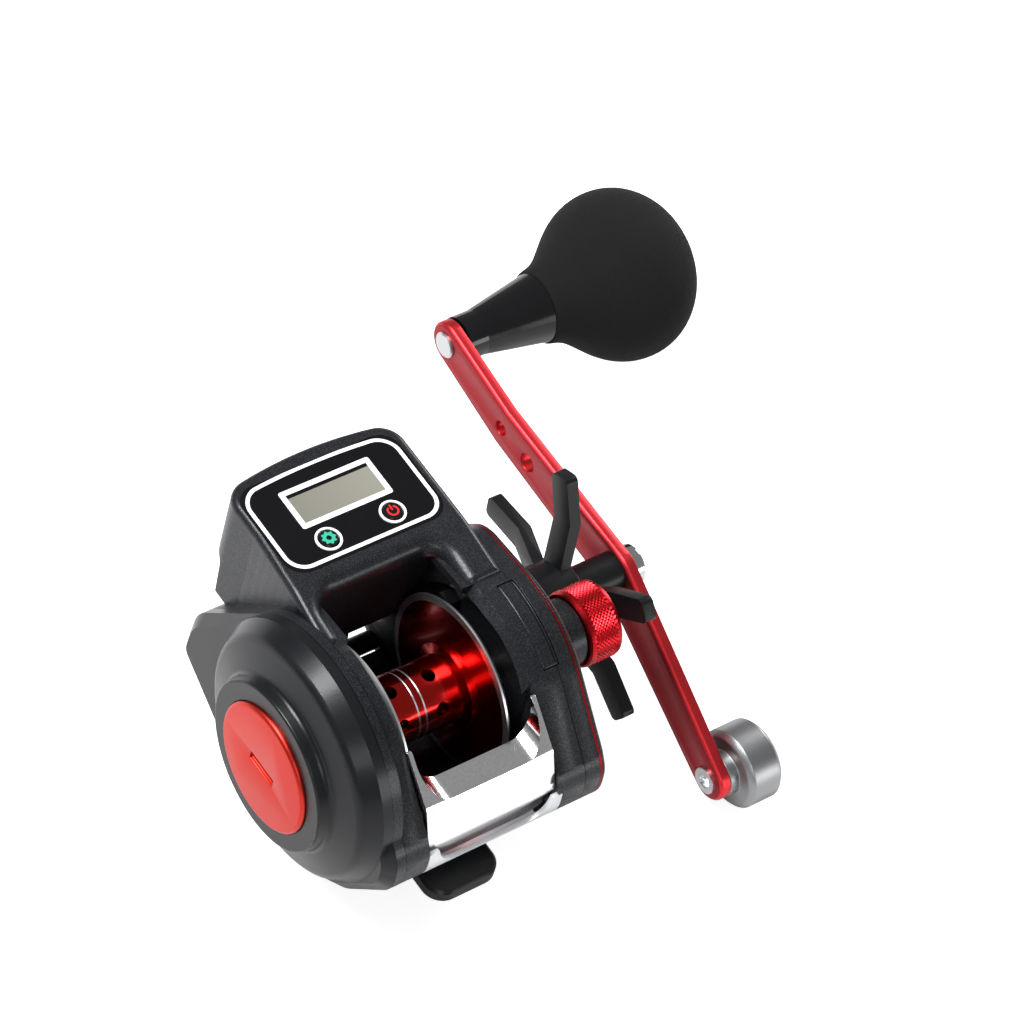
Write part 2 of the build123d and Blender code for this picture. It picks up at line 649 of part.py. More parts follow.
def make_yoke():
    """The fork that carries the pinion along its posts when the clutch is pressed."""
    mid = (TEETH_END + GROOVE_END) / 2
    start, end = mid - YOKE_THICK / 2, mid + YOKE_THICK / 2
    fork = block(start, end, -POST_BACK - 2 * POST_RADIUS, PINION_NECK, -YOKE_REACH, YOKE_REACH)
    fork -= rod(PINION_NECK + SLIP, start - OVERRUN, end + OVERRUN)
    half = PINION_NECK + SLIP
    fork -= block(start - OVERRUN, end + OVERRUN, 0, YOKE_REACH, -half, half)
    for side in (-1, 1):
        fork -= rod(POST_RADIUS + RUN_FIT, start - OVERRUN, end + OVERRUN, -POST_BACK, side * POST_APART)
    return fork


def make_yoke_posts():
    """Two posts from the frame's web to the cover, on which the yoke slides."""
    posts = []
    for side in (-1, 1):
        post = rod(POST_RADIUS, WEB_LEFT, COVER_INNER - GAP, -POST_BACK, side * POST_APART)
        posts.append(post)
    return Compound(posts)


SPRING_WIRE = 0.25


def make_yoke_springs():
    """Sleeves of the two springs that push the pinion back into mesh."""
    mid = (TEETH_END + GROOVE_END) / 2 + YOKE_THICK / 2
    springs = []
    for side in (-1, 1):
        inner = POST_RADIUS + SLIP
        spring = tube(inner + 2 * SPRING_WIRE, inner, mid + SLIP, COVER_INNER - GAP, -POST_BACK, side * POST_APART)
        springs.append(spring)
    return Compound(springs)


SLIDER_THICK = 1.0
SLIDER_NOSE = 9.6
RAMP_LONG = 4.8
RAMP_DEEP = 2.4


def make_clutch_slider():
    """The plate behind the thumb bar that lifts the yoke as the bar goes down."""
    start = WEB_RIGHT + GAP
    plate = block(start, start + SLIDER_THICK, -SLIDER_REAR, -SLIDER_NOSE, SLIDER_LOW, SLIDER_TOP)
    rear = -SLIDER_NOSE - RAMP_DEEP
    plate += block(start, start + RAMP_LONG, rear, -SLIDER_NOSE, SLIDER_LOW, SLIDER_TOP)
    plate += block(BAR_RIGHT, start + EDGE, -SLIDER_REAR, -SLIDER_FRONT, SLIDER_LOW, SLIDER_TOP)
    return plate


# Thumb bar and chin plate
BAR_FRONT_Y = -18.3
BAR_FRONT_Z = 6.8
RIDGE_Y = -23.3
RIDGE_Z = 6.2
BAR_BACK_Y = -26.2
BAR_BACK_Z = -1.0
BAR_LOW_Y = -25.8
BAR_LOW_Z = -6.6
BAR_SIDE = 0.3
BAR_WALL = 1.5
BAR_CORNER = 6.0
BAR_BEND = 2.5
HORN_SWEEP = 5.0
HORN_THICK = 0.8
HORN_TIP_Y = -14.3
HORN_TIP_Z = 12.8
HORN_WIDE = 1.4
CHIN_THICK = 0.8
CHIN_BELOW = -17.0
CHIN_TOP = -2.2
CHIN_SIDE = 0.15
BAR_LEFT = -WINDOW_LEFT + BAR_SIDE
BAR_RIGHT = WINDOW_RIGHT + BAR_NOTCH - BAR_SIDE


def bar_profile():
    """The bar seen from its end: front lip, horn, ridge and the bowed rear face."""
    return rounded(
        [
            (BAR_FRONT_Y + EDGE, BAR_FRONT_Z, 0),
            (HORN_TIP_Y, HORN_TIP_Z, EDGE),
            (HORN_TIP_Y - HORN_WIDE, HORN_TIP_Z, EDGE),
            (RIDGE_Y, RIDGE_Z, BAR_BEND),
            (BAR_BACK_Y, BAR_BACK_Z, 2 * BAR_BEND),
            (BAR_LOW_Y, BAR_LOW_Z, 0),
            (BAR_LOW_Y + BAR_WALL, BAR_LOW_Z, 0),
            (BAR_BACK_Y + BAR_WALL, BAR_BACK_Z, BAR_BEND),
            (RIDGE_Y + BAR_WALL / 2, RIDGE_Z - BAR_WALL, EDGE),
            (BAR_FRONT_Y - EDGE, BAR_FRONT_Z - BAR_WALL, 0),
        ]
    )


def make_thumb_bar():
    """The bar: a shell whose scooped top sweeps up into a horn at each end."""
    start, end = BAR_LEFT, BAR_RIGHT
    bar = slab(bar_profile(), start, end)
    floor = [(0, BAR_FRONT_Z), (RIDGE_Y - OVERRUN, RIDGE_Z), (RIDGE_Y - OVERRUN, CASE_TOP), (0, CASE_TOP)]
    scoop = slab(make_face(Polyline(*floor, close=True)), start + HORN_THICK, end - HORN_THICK)
    sides = [e for e in scoop.edges() if abs(e.tangent_at(0.5).Y) > EDGE and e.center().Z < HORN_TIP_Z]
    bar -= fillet(sides, radius=HORN_SWEEP)
    middle, high = (start + end) / 2, CASE_TOP - BAR_LOW_Z
    window = Pos(middle, 0, BAR_LOW_Z + high / 2) * Box(end - start, 4 * CASE_REAR, high)
    window = fillet(window.edges().filter_by(Axis.Y).group_by(Axis.Z)[0], radius=BAR_CORNER)
    bar = bar & window
    bar -= rod(SPOOL_RADIUS + GAP, start - OVERRUN, end + OVERRUN, -THUMB_IN, THUMB_DOWN)
    tab_start = end - FLANGE_GAP
    bar += block(tab_start, end, BAR_BACK_Y + BAR_WALL / 2, -SLIDER_FRONT, SLIDER_LOW, SLIDER_TOP)
    return bar


def make_chin_plate():
    """The bright plate below the thumb bar, over the rear of the frame's cross bar."""
    start, end = -WINDOW_LEFT + CHIN_SIDE, WINDOW_RIGHT + CHIN_NOTCH - CHIN_SIDE
    strip = side_outline() - side_outline(CHIN_THICK)
    window = Pos(-CASE_REAR, CHIN_BELOW) * Rectangle(CASE_REAR, CHIN_TOP - CHIN_BELOW, align=(Align.MIN, Align.MIN))
    plate = slab(strip & window, start, end)
    backing = side_outline(CHIN_THICK) - side_outline(CASE_BOTTOM - SEAT_HEIGHT - RUN_FIT)
    inner = slab(backing, start, WINDOW_RIGHT - CHIN_SIDE)
    low = BAR_LOW_Z - THUMB_DOWN - GAP
    plate += inner & block(start, end, -CASE_REAR, 0, CHIN_BELOW, low)
    opening = block(
        start + BAR_CORNER / 3, end - BAR_CORNER / 3, -2 * CASE_REAR, 0, BAR_LOW_Z - EDGE / 2, CASE_TOP
    )
    sides = opening.edges().filter_by(Axis.Y).group_by(Axis.Z)[0]
    return plate - fillet(sides, radius=BAR_CORNER - EDGE)


# Right side: gear train, cover and crank
COVER_WALL = 1.5
COVER_EASE_LONG = 2.0
COVER_EASE_IN = 3.2
ACCENT_X = 3.5
ACCENT_WIDE = 0.4
ACCENT_DEEP = 0.5
BOSS_RADIUS = 7.7
BOSS_END = 34.4
COLLAR_RADIUS = 6.3
COLLAR_END = 33.4
NECK_RADIUS = 5.4
NECK_STOP = 38.6
CAP_RADIUS = 7.35
CAP_END = 40.6
CAP_WALL = 1.4
CAP_RIM = 1.5
PINION_BEARING_OUT = 3.9
PINION_BEARING_WIDE = 2.0
RIGHT_BEARING_X = 34.6
COVER_INNER = RIGHT_FACE - COVER_WALL


def make_right_cover():
    """The outer gear case: a dished shell with bosses for the crank and the cast control."""
    shell = slab(side_outline(), RIGHT_SEAM, RIGHT_FACE - COVER_EASE_LONG)
    shoulder = Plane.YZ.offset(RIGHT_FACE - COVER_EASE_LONG) * side_outline()
    rim = Plane.YZ.offset(RIGHT_FACE) * side_outline(COVER_EASE_IN)
    shell += loft([shoulder, rim], ruled=True)
    shell -= slab(side_outline(CASE_WALL + COVER_EASE_IN), RIGHT_SEAM - OVERRUN, COVER_INNER)
    groove = side_outline(-OVERRUN) - side_outline(ACCENT_DEEP)
    accent = RIGHT_SEAM + ACCENT_X
    shell -= slab(groove, accent - ACCENT_WIDE / 2, accent + ACCENT_WIDE / 2)
    boss = rod(BOSS_RADIUS, RIGHT_FACE - EDGE, BOSS_END, DRIVE_Y, DRIVE_Z)
    collar = rod(COLLAR_RADIUS, RIGHT_FACE - EDGE, COLLAR_END)
    collar += rod(NECK_RADIUS, COLLAR_END - EDGE, NECK_STOP)
    cover = shell + boss + collar
    cover += rod(PINION_BEARING_OUT + HUB_WALL, PINION_BEARING_X, COVER_INNER + EDGE)
    cover -= rod(CLUTCH_OUT, CLUTCH_START, BOSS_END + OVERRUN, DRIVE_Y, DRIVE_Z)
    cover -= rod(CLUTCH_OUT - BEARING_RING, COVER_INNER - OVERRUN, BOSS_END, DRIVE_Y, DRIVE_Z)
    bearing_end = PINION_BEARING_X + PINION_BEARING_WIDE
    cover -= rod(PINION_BEARING_OUT, PINION_BEARING_X - OVERRUN, bearing_end)
    cover -= rod(BEARING_OUT - BEARING_RING, COVER_INNER, RIGHT_BEARING_X + OVERRUN)
    cover -= rod(BEARING_OUT, RIGHT_BEARING_X, NECK_STOP + OVERRUN)
    for y, z in screw_places(RIGHT_SCREW_PLACES_SHARE):
        cover += rod(COVER_SCREW_BOSS, RIGHT_SEAM, COVER_INNER + EDGE, y, z)
        cover -= rod(COVER_SCREW_RADIUS + SLIP, RIGHT_SEAM - OVERRUN, RIGHT_FACE, y, z)
        cover -= rod(COVER_SCREW_HEAD + SLIP, RIGHT_FACE - COVER_SCREW_HEAD_DEEP, RIGHT_FACE + OVERRUN, y, z)
    return cover - insert_pocket(0)


def make_accent_ring():
    """The thin red line round the right cover."""
    accent = RIGHT_SEAM + ACCENT_X
    strip = side_outline() - side_outline(ACCENT_DEEP)
    return slab(strip, accent - ACCENT_WIDE / 2, accent + ACCENT_WIDE / 2)


CLUTCH_OUT = 6.4
CLUTCH_IN = 4.2
CLUTCH_START = RIGHT_FACE + EDGE
CLUTCH_LONG = 7.6
SLEEVE_END = CLUTCH_START + CLUTCH_LONG
DRIVE_SHAFT = 2.6
DRIVE_STUB = 2.0
DRIVE_COLLAR = 4.6
CARRY_WIDE = 1.1
GEAR_WIDE = 2.6
GEAR_CUP_OUT = 10.6
GEAR_CUP_DEEP = 1.7
WASHER = 0.35
WASHER_IN = 4.4
WASHER_PAIRS = 2
PLATE_THICK = 0.7
PINION_BEARING_X = COVER_INNER - EDGE

CARRY_START = WEB_RIGHT + GAP
CARRY_END = CARRY_START + CARRY_WIDE
GEAR_START = CARRY_END + 2 * GAP
GEAR_END = GEAR_START + GEAR_WIDE
CUP_FLOOR = GEAR_END - GEAR_CUP_DEEP
ARM_END = ARM_FACE + ARM_THICK
NUT_LONG = 2.6
NUT_CAP = 1.0
SHAFT_TIP = ARM_END + NUT_LONG - NUT_CAP


def on_drive(shape):
    """Move a piece made on the spool axis to the drive axis."""
    return Pos(0, DRIVE_Y, DRIVE_Z) * shape


def make_drive_shaft():
    shaft = rod(DRIVE_STUB, WEB_LEFT, CARRY_START - SLIP)
    shaft += rod(DRIVE_COLLAR, CARRY_END, GEAR_START - SLIP)
    shaft += rod(DRIVE_SHAFT, CARRY_START - SLIP, SHAFT_TIP)
    return on_drive(shaft)


def make_drive_gear():
    """The main gear, with a cup on its crank side for the drag washers."""
    body = gear(DRIVE_TEETH, DRIVE_MODULE, DRIVE_SHAFT + RUN_FIT, GEAR_START, GEAR_END, 0, 0, TO_PINION)
    return on_drive(body - rod(GEAR_CUP_OUT, CUP_FLOOR, GEAR_END + OVERRUN))


def make_drag_washers():
    """The drag stack: friction washers and keyed metal ones in turn."""
    washers = []
    pitch = WASHER + RUN_FIT
    for index in range(2 * WASHER_PAIRS):
        start = CUP_FLOOR + RUN_FIT + index * pitch
        inner = DRIVE_SHAFT + RUN_FIT if index % 2 else WASHER_IN
        washers.append(on_drive(tube(GEAR_CUP_OUT - GAP, inner, start, start + WASHER)))
    return Compound(washers)


STACK_END = CUP_FLOOR + RUN_FIT + 2 * WASHER_PAIRS * (WASHER + RUN_FIT)


def make_pressure_plate():
    """The plate over the drag stack, with a sleeve that runs on through the one-way bearing."""
    plate = tube(GEAR_CUP_OUT - GAP, DRIVE_SHAFT + RUN_FIT, STACK_END, STACK_END + PLATE_THICK)
    plate += tube(CLUTCH_IN - RUN_FIT, DRIVE_SHAFT + RUN_FIT, STACK_END, SLEEVE_END + EDGE)
    return on_drive(plate)


def make_one_way_bearing():
    return on_drive(bearing(CLUTCH_OUT, CLUTCH_IN, CLUTCH_START, SLEEVE_END))


SPRING_CUP = 5.4
SPRING_CUP_THICK = 0.5
STAR_START = 36.0
SPACER_RADIUS = 4.0
STAR_HUB = 7.3
STAR_HUB_END = 44.2
STAR_ARM_START = 41.4
STAR_TIP_X = 45.3
STAR_REACH = 25.0
STAR_ARMS = 5
STAR_FIRST_DEG = -6.0
STAR_ARM_ROOT = 5.4
STAR_ARM_TIP = 4.6
STAR_ARM_THICK = 2.4
STAR_BEND_SHARE = 0.62


def make_spring_washers():
    """A pair of cupped spring washers between the clutch sleeve and the star's nut."""
    start = SLEEVE_END + EDGE + SLIP
    washers = []
    for index in range(2):
        low = start + index * (SPRING_CUP_THICK + SLIP)
        washers.append(on_drive(tube(SPRING_CUP, DRIVE_SHAFT + SLIP, low, low + SPRING_CUP_THICK)))
    return Compound(washers)


def star_arm():
    """One arm of the star: it leaves the hub, steps outward and ends in a thumb pad."""
    half_root, half_tip = STAR_ARM_ROOT / 2, STAR_ARM_TIP / 2
    plan = [(0, -half_root), (STAR_REACH, -half_tip), (STAR_REACH, half_tip), (0, half_root)]
    outline = make_face(Polyline(*plan, close=True))
    outline = fillet(outline.vertices().group_by(Axis.X)[-1], radius=half_tip / 2)
    column = slab(outline, STAR_ARM_START - OVERRUN, STAR_TIP_X + STAR_ARM_THICK + OVERRUN)
    bend_in, bend_out = STAR_HUB, STAR_REACH * STAR_BEND_SHARE
    side = [
        (STAR_ARM_START, 0),
        (STAR_ARM_START, bend_in),
        (STAR_TIP_X - STAR_ARM_THICK / 2, bend_out),
        (STAR_TIP_X - STAR_ARM_THICK / 2, STAR_REACH + OVERRUN),
        (STAR_TIP_X + STAR_ARM_THICK / 2, STAR_REACH + OVERRUN),
        (STAR_TIP_X + STAR_ARM_THICK / 2, bend_out - STAR_ARM_THICK / 4),
        (STAR_ARM_START + STAR_ARM_THICK, bend_in),
        (STAR_ARM_START + STAR_ARM_THICK, 0),
    ]
    ribbon = make_face(Polyline(*side, close=True))
    return column & extrude(ribbon, amount=STAR_ARM_ROOT, both=True)


def make_star_drag():
    star = rod(STAR_HUB, STAR_START, STAR_HUB_END)
    star = eased(star, EDGE, STAR_HUB_END, STAR_HUB_END)
    arm = star_arm()
    for index in range(STAR_ARMS):
        star += Rot(STAR_FIRST_DEG + 360 * index / STAR_ARMS, 0, 0) * arm
    star -= rod(DRIVE_SHAFT + SLIP, STAR_START - OVERRUN, STAR_HUB_END + OVERRUN)
    return on_drive(star)


def make_crank_spacer():
    return on_drive(tube(SPACER_RADIUS, DRIVE_SHAFT + RUN_FIT, STAR_HUB_END + GAP, ARM_FACE))


ARM_HUB = 5.4
ARM_HUB_DROP = 0.7
ARM_BOW_FORWARD = 49.0
ARM_BOW_BELOW = 9.4
ARM_BOW = 4.7
ARM_KNOB_END = 4.4
ARM_WEIGHT_END = 4.3
ARM_EDGE = 0.6
ARM_HOLE_SHARES = (1.0, 0.76)
ARM_HOLE_SMALL = 1.5
ARM_HOLE_BIG = 1.9


def bar_between(first, second, first_radius, second_radius):
    """A tapered bar with round ends between two points of the (y, z) plane."""
    shape = Pos(*first) * Circle(first_radius) + Pos(*second) * Circle(second_radius)
    along = (second[0] - first[0], second[1] - first[1])
    length = hypot(*along)
    turn = atan2(along[1], along[0])
    lean = acos((first_radius - second_radius) / length)
    corners = []
    for side in (1, -1):
        angle = turn + side * lean
        pair = [
            (point[0] + radius * cos(angle), point[1] + radius * sin(angle))
            for point, radius in ((first, first_radius), (second, second_radius))
        ]
        corners += pair if side == 1 else pair[::-1]
    return shape + make_face(Polyline(*corners, close=True))


def make_handle_arm():
    hub = (DRIVE_Y, DRIVE_Z)
    root = (DRIVE_Y, DRIVE_Z - ARM_HUB_DROP)
    bow = (ARM_BOW_FORWARD, -ARM_BOW_BELOW)
    knob = (KNOB_FORWARD, -KNOB_BELOW)
    weight = (-WEIGHT_BACK, -WEIGHT_BELOW)
    plan = bar_between(root, bow, ARM_HUB, ARM_BOW) + bar_between(bow, knob, ARM_BOW, ARM_KNOB_END)
    plan += bar_between(root, weight, ARM_HUB, ARM_WEIGHT_END)
    arm = slab(plan, ARM_FACE, ARM_END)
    arm = chamfer(arm.faces().sort_by(Axis.X)[0].edges(), length=ARM_EDGE)
    arm -= rod(DRIVE_SHAFT, ARM_FACE - OVERRUN, ARM_END + OVERRUN, *hub)
    arm -= rod(PIVOT_RADIUS, ARM_FACE - OVERRUN, ARM_END + OVERRUN, *knob)
    arm -= rod(WEIGHT_SCREW, ARM_FACE - OVERRUN, ARM_END + OVERRUN, *weight)
    for share, radius in zip(ARM_HOLE_SHARES, (ARM_HOLE_SMALL, ARM_HOLE_BIG)):
        y = root[0] + share * (bow[0] - root[0])
        z = root[1] + share * (bow[1] - root[1])
        arm -= rod(radius, ARM_FACE - OVERRUN, ARM_END + OVERRUN, y, z)
    return arm


PIVOT_RADIUS = 1.9
PIVOT_HEAD = 2.6
PIVOT_HEAD_THICK = 0.5
WEIGHT_SCREW = 1.6
WEIGHT_RADIUS = 7.8
WEIGHT_LONG = 7.7
WEIGHT_GAP = 2.0
WEIGHT_EDGE = 1.0
NUT_RADIUS = 3.9


def make_handle_nut():
    """The domed nut that clamps the arm on the shaft."""
    nut = rod(NUT_RADIUS, ARM_END, ARM_END + NUT_LONG)
    nut = eased(nut, EDGE, ARM_END + NUT_LONG, ARM_END + NUT_LONG)
    nut -= rod(DRIVE_SHAFT, ARM_END - OVERRUN, SHAFT_TIP + SLIP)
    return on_drive(nut)


def at_weight(shape):
    return Pos(0, -WEIGHT_BACK, -WEIGHT_BELOW) * shape


def make_counterweight():
    start = ARM_END + WEIGHT_GAP
    weight = rod(WEIGHT_RADIUS, start, start + WEIGHT_LONG)
    weight = chamfer(weight.edges().filter_by(GeomType.CIRCLE), length=WEIGHT_EDGE)
    weight += rod(ARM_WEIGHT_END, ARM_END, start + EDGE)
    return at_weight(weight - rod(WEIGHT_SCREW, ARM_END - OVERRUN, start + WEIGHT_LONG / 2))


def make_weight_screw():
    screw = rod(WEIGHT_SCREW, ARM_FACE, ARM_END + WEIGHT_GAP + WEIGHT_LONG / 2 - SLIP)
    screw += rod(PIVOT_HEAD, ARM_FACE - PIVOT_HEAD_THICK, ARM_FACE)
    socket = RegularPolygon(WEIGHT_SCREW, 6)
    return at_weight(screw - slab(socket, ARM_FACE - OVERRUN, ARM_FACE + EDGE))


# Knob
NECK_START_GAP = 0.5
NECK_SMALL = 4.5
NECK_BIG = 6.9
KNOB_NECK_END = 75.6
GRIP_CENTRE = 95.4
GRIP_RADIUS = 17.0
GRIP_HALF = 13.1
GRIP_NECK = 7.4
KNOB_CAP = 7.6
KNOB_CAP_THICK = 0.8
KNOB_CORE = 4.4
FLARE_DEG = 38.0
NECK_STRAIGHT = 4.0


def at_knob(shape):
    return Pos(0, KNOB_FORWARD, -KNOB_BELOW) * shape


def make_knob_shaft():
    shaft = rod(PIVOT_RADIUS, ARM_FACE, GRIP_CENTRE)
    shaft += rod(PIVOT_HEAD, ARM_FACE - PIVOT_HEAD_THICK, ARM_FACE)
    return at_knob(eased(shaft, EDGE / 2, ARM_FACE - PIVOT_HEAD_THICK, ARM_FACE - PIVOT_HEAD_THICK))


def make_knob_core():
    """The glossy neck, with the core that runs on through the grip."""
    start = ARM_END + NECK_START_GAP
    points = [
        (start, 0),
        (start, NECK_SMALL),
        (start + NECK_STRAIGHT, NECK_SMALL),
        (KNOB_NECK_END, NECK_BIG),
        (KNOB_NECK_END, KNOB_CORE),
        (GRIP_CENTRE + GRIP_HALF / 2, KNOB_CORE),
        (GRIP_CENTRE + GRIP_HALF / 2, 0),
    ]
    core = turned(points)
    return at_knob(core - rod(PIVOT_RADIUS + RUN_FIT, start - OVERRUN, GRIP_CENTRE + GAP))


def make_knob_grip():
    """The round foam grip: a neck that flares into a flattened ball."""
    end_turn = degrees(acos(1 - KNOB_CAP_THICK / GRIP_HALF))
    join_turn = 180 - FLARE_DEG
    ball = EllipticalCenterArc(
        (GRIP_CENTRE, 0), GRIP_HALF, GRIP_RADIUS, end_turn, arc_size=join_turn - end_turn
    )
    first, last = ball @ 0, ball @ 1
    throat_end = KNOB_NECK_END + NECK_STRAIGHT
    leaving = ball % 1
    throat = Spline((last.X, last.Y), (throat_end, GRIP_NECK), tangents=[(leaving.X, leaving.Y), (-1, 0)])
    neck = KNOB_NECK_END
    rest = Polyline((throat_end, GRIP_NECK), (neck, GRIP_NECK), (neck, 0), (first.X, 0), (first.X, first.Y))
    grip = revolve(make_face(ball + throat + rest), axis=Axis.X)
    return at_knob(grip - rod(KNOB_CORE, KNOB_NECK_END - OVERRUN, GRIP_CENTRE + GRIP_HALF / 2))


def make_knob_cap():
    end = GRIP_CENTRE + GRIP_HALF
    cap = rod(KNOB_CAP, end - KNOB_CAP_THICK, end)
    return at_knob(eased(cap, KNOB_CAP_THICK / 2, end, end))


# Cast control cap

def make_cast_cap():
    """The knurled cap over the right end of the spool shaft."""
    cap = rod(CAP_RADIUS, COLLAR_END + SLIP, CAP_END)
    cap = eased(cap, EDGE, CAP_END, CAP_END)
    cap -= rod(NECK_RADIUS + RUN_FIT, COLLAR_END, CAP_END - CAP_WALL)
    cap += rod(SHAFT_RADIUS, SHAFT_END + RUN_FIT, CAP_END - CAP_WALL + EDGE)
    ring = tube(2 * CAP_RADIUS, CAP_RADIUS - EDGE / 2, COLLAR_END + CAP_RIM, COLLAR_END + CAP_RIM + EDGE)
    return cap - ring


def make_ball_bearings():
    """The bearings of the spool shaft, one at each end, and the pinion's."""
    inner = SHAFT_RADIUS + RUN_FIT
    left = bearing(BEARING_OUT, inner, -BEARING_FACE - BEARING_WIDE, -BEARING_FACE)
    right = bearing(BEARING_OUT, inner, RIGHT_BEARING_X, SHAFT_END + 2 * EDGE)
    start = PINION_BEARING_X
    middle = bearing(PINION_BEARING_OUT, PINION_NECK + RUN_FIT, start, start + PINION_BEARING_WIDE)
    return Compound([left, middle, right])


# Level wind
WORM_RADIUS = 1.9
WORM_STUB = 1.4
WORM_TIP = (WORM_TEETH / 2 + TIP_SHARE) * WORM_MODULE
GUARD_OUT = 3.3
GUARD_IN = 2.4
GUARD_SLOT = 2.2
GUIDE_WIDE = 9.0
GUIDE_WALL = 1.6
GUIDE_TOP = 3.4
EYE_WIDE = 3.6
EYE_TALL = 4.6
EYE_THICK = 2.6
EYE_WALL = 0.7
EYE_ROUND_SHARE = 0.45
PAWL_RADIUS = 1.0
GUIDE_MIDDLE = (WINDOW_RIGHT - WINDOW_LEFT) / 2
EYE_MIDDLE_Z = GUIDE_TOP - EYE_TALL / 2 - GUIDE_WALL


def on_worm(shape):
    return Pos(0, WORM_Y, WORM_Z) * shape


def make_worm_shaft():
    shaft = rod(WORM_RADIUS, -WINDOW_LEFT, WINDOW_RIGHT)
    shaft += rod(WORM_STUB, LEFT_SEAM, CARRY_END + GAP)
    return on_worm(shaft)


def make_worm_gear():
    facing = TO_WORM + 180
    half_pitch = 180 / WORM_TEETH
    shape = gear(WORM_TEETH, WORM_MODULE, WORM_STUB, CARRY_START, CARRY_END, 0, 0, facing + half_pitch)
    return on_worm(shape)


def make_carry_gear():
    """The gear on the drive shaft that turns the level wind."""
    return on_drive(gear(CARRY_TEETH, WORM_MODULE, DRIVE_SHAFT, CARRY_START, CARRY_END, 0, 0, TO_WORM))


def make_frame_bushes():
    """The bushes in the frame: two for the worm shaft and one for the drive shaft."""
    left = tube(WORM_BUSH, WORM_STUB + RUN_FIT, LEFT_SEAM, -WINDOW_LEFT)
    right = tube(WORM_BUSH, WORM_STUB + RUN_FIT, WINDOW_RIGHT, WEB_RIGHT)
    drive = tube(DRIVE_BUSH, DRIVE_STUB + RUN_FIT, WEB_LEFT, WEB_RIGHT)
    return Compound([on_worm(left), on_worm(right), on_drive(drive)])


def make_worm_guard():
    """The slotted tube round the worm, on which the line guide slides."""
    guard = tube(GUARD_OUT, GUARD_IN, -WINDOW_LEFT, WINDOW_RIGHT)
    half = GUARD_SLOT / 2
    slot = block(
        -WINDOW_LEFT + 2 * EDGE, WINDOW_RIGHT - 2 * EDGE, -half, half, -2 * GUARD_OUT, -GUARD_IN / 2
    )
    return on_worm(guard - slot)


def make_guide_rail():
    return rod(RAIL_RADIUS, LEFT_SEAM, WEB_RIGHT, RAIL_FORWARD, -RAIL_BELOW)


def make_line_guide():
    """The carriage that lays the line, with an upright frame round the eye."""
    start, end = GUIDE_MIDDLE - GUIDE_WIDE / 2, GUIDE_MIDDLE + GUIDE_WIDE / 2
    barrel = rod(GUARD_OUT + GUIDE_WALL, start, end, WORM_Y, WORM_Z)
    link = rod(RAIL_RADIUS + GUIDE_WALL, start, end, RAIL_FORWARD, -RAIL_BELOW)
    mid = (WORM_Z - RAIL_BELOW) / 2
    bridge = block(start, end, WORM_Y, RAIL_FORWARD, mid - GUIDE_WALL, mid + GUIDE_WALL)
    post = block(start, end, WORM_Y, WORM_Y + EYE_THICK, WORM_Z, GUIDE_TOP)
    post = fillet(post.edges().filter_by(Axis.Y).group_by(Axis.Z)[-1], radius=EYE_WIDE / 2)
    guide = barrel + link + bridge + post
    guide -= rod(GUARD_OUT + SLIP, start - OVERRUN, end + OVERRUN, WORM_Y, WORM_Z)
    guide -= rod(RAIL_RADIUS + SLIP, start - OVERRUN, end + OVERRUN, RAIL_FORWARD, -RAIL_BELOW)
    guide -= eye_block(EYE_WIDE, EYE_TALL, OVERRUN)
    guide -= Pos(GUIDE_MIDDLE, WORM_Y, WORM_Z - GUARD_OUT) * Cylinder(PAWL_RADIUS, 4 * GUIDE_WALL)
    return guide


def eye_block(wide, tall, over):
    """A round-cornered block through the carriage's post, centred on the line."""
    shape = block(
        GUIDE_MIDDLE - wide / 2,
        GUIDE_MIDDLE + wide / 2,
        WORM_Y - over,
        WORM_Y + EYE_THICK + over,
        EYE_MIDDLE_Z - tall / 2,
        EYE_MIDDLE_Z + tall / 2,
    )
    return fillet(shape.edges().filter_by(Axis.Y), radius=min(wide, tall) * EYE_ROUND_SHARE)


def make_guide_eye():
    """The hard insert of the line guide."""
    outer = eye_block(EYE_WIDE, EYE_TALL, 0)
    return outer - eye_block(EYE_WIDE - 2 * EYE_WALL, EYE_TALL - 2 * EYE_WALL, OVERRUN)


def make_pawl():
    """The pawl that follows the worm, held up by its plug."""
    low = WORM_Z - GUARD_OUT - GUIDE_WALL - PAWL_RADIUS
    top = WORM_Z - WORM_RADIUS - GAP
    align = (Align.CENTER, Align.CENTER, Align.MIN)
    plug = Cylinder(2 * PAWL_RADIUS, PAWL_RADIUS, align=align)
    pin = Cylinder(PAWL_RADIUS, top - low, align=align)
    return Pos(GUIDE_MIDDLE, WORM_Y, low) * (plug + pin)


# Display
HOUSING_LEFT = 17.0
HOUSING_RIGHT = 18.7
HOUSING_TOP = 21.4
HOUSING_REAR = 15.8
HOUSING_FRONT = 43.2
HOUSING_BOW = 2.0
HOUSING_LIP = 8.5
HOUSING_FLOOR = 5.0
HOUSING_HEEL = 38.0
SKIRT_LOW = 3.0
APRON_Y = 18.0
APRON_LOW = 1.4
APRON_THICK = 1.6
HOUSING_WALL = 1.6
HOUSING_CORNER = 5.0
NOTCH_ROUND = 2.8
NOTCH_CORNER = 4.0
TOP_ROUND = 1.3
LEG_END_SHARE = 0.965
LEG_SWEEP = 16.0
LENS_MIDDLE_X = 0.4
LENS_WIDE = 33.0
LENS_REAR = 19.6
LENS_LONG = 20.4
LENS_THICK = 0.9
LENS_CORNER = 4.0
LCD_MIDDLE_X = 0.6
LCD_WIDE = 17.6
LCD_FRONT = 36.2
LCD_REAR = 28.4
BUTTON_Y = 24.2
BUTTON_LEFT_X = -6.15
BUTTON_RIGHT_X = 7.3
BUTTON_RING = 2.47
BUTTON_RADIUS = 1.9
BUTTON_PROUD = 0.5
BUTTON_TRAVEL = 0.4
BUTTON_FLANGE = 0.7
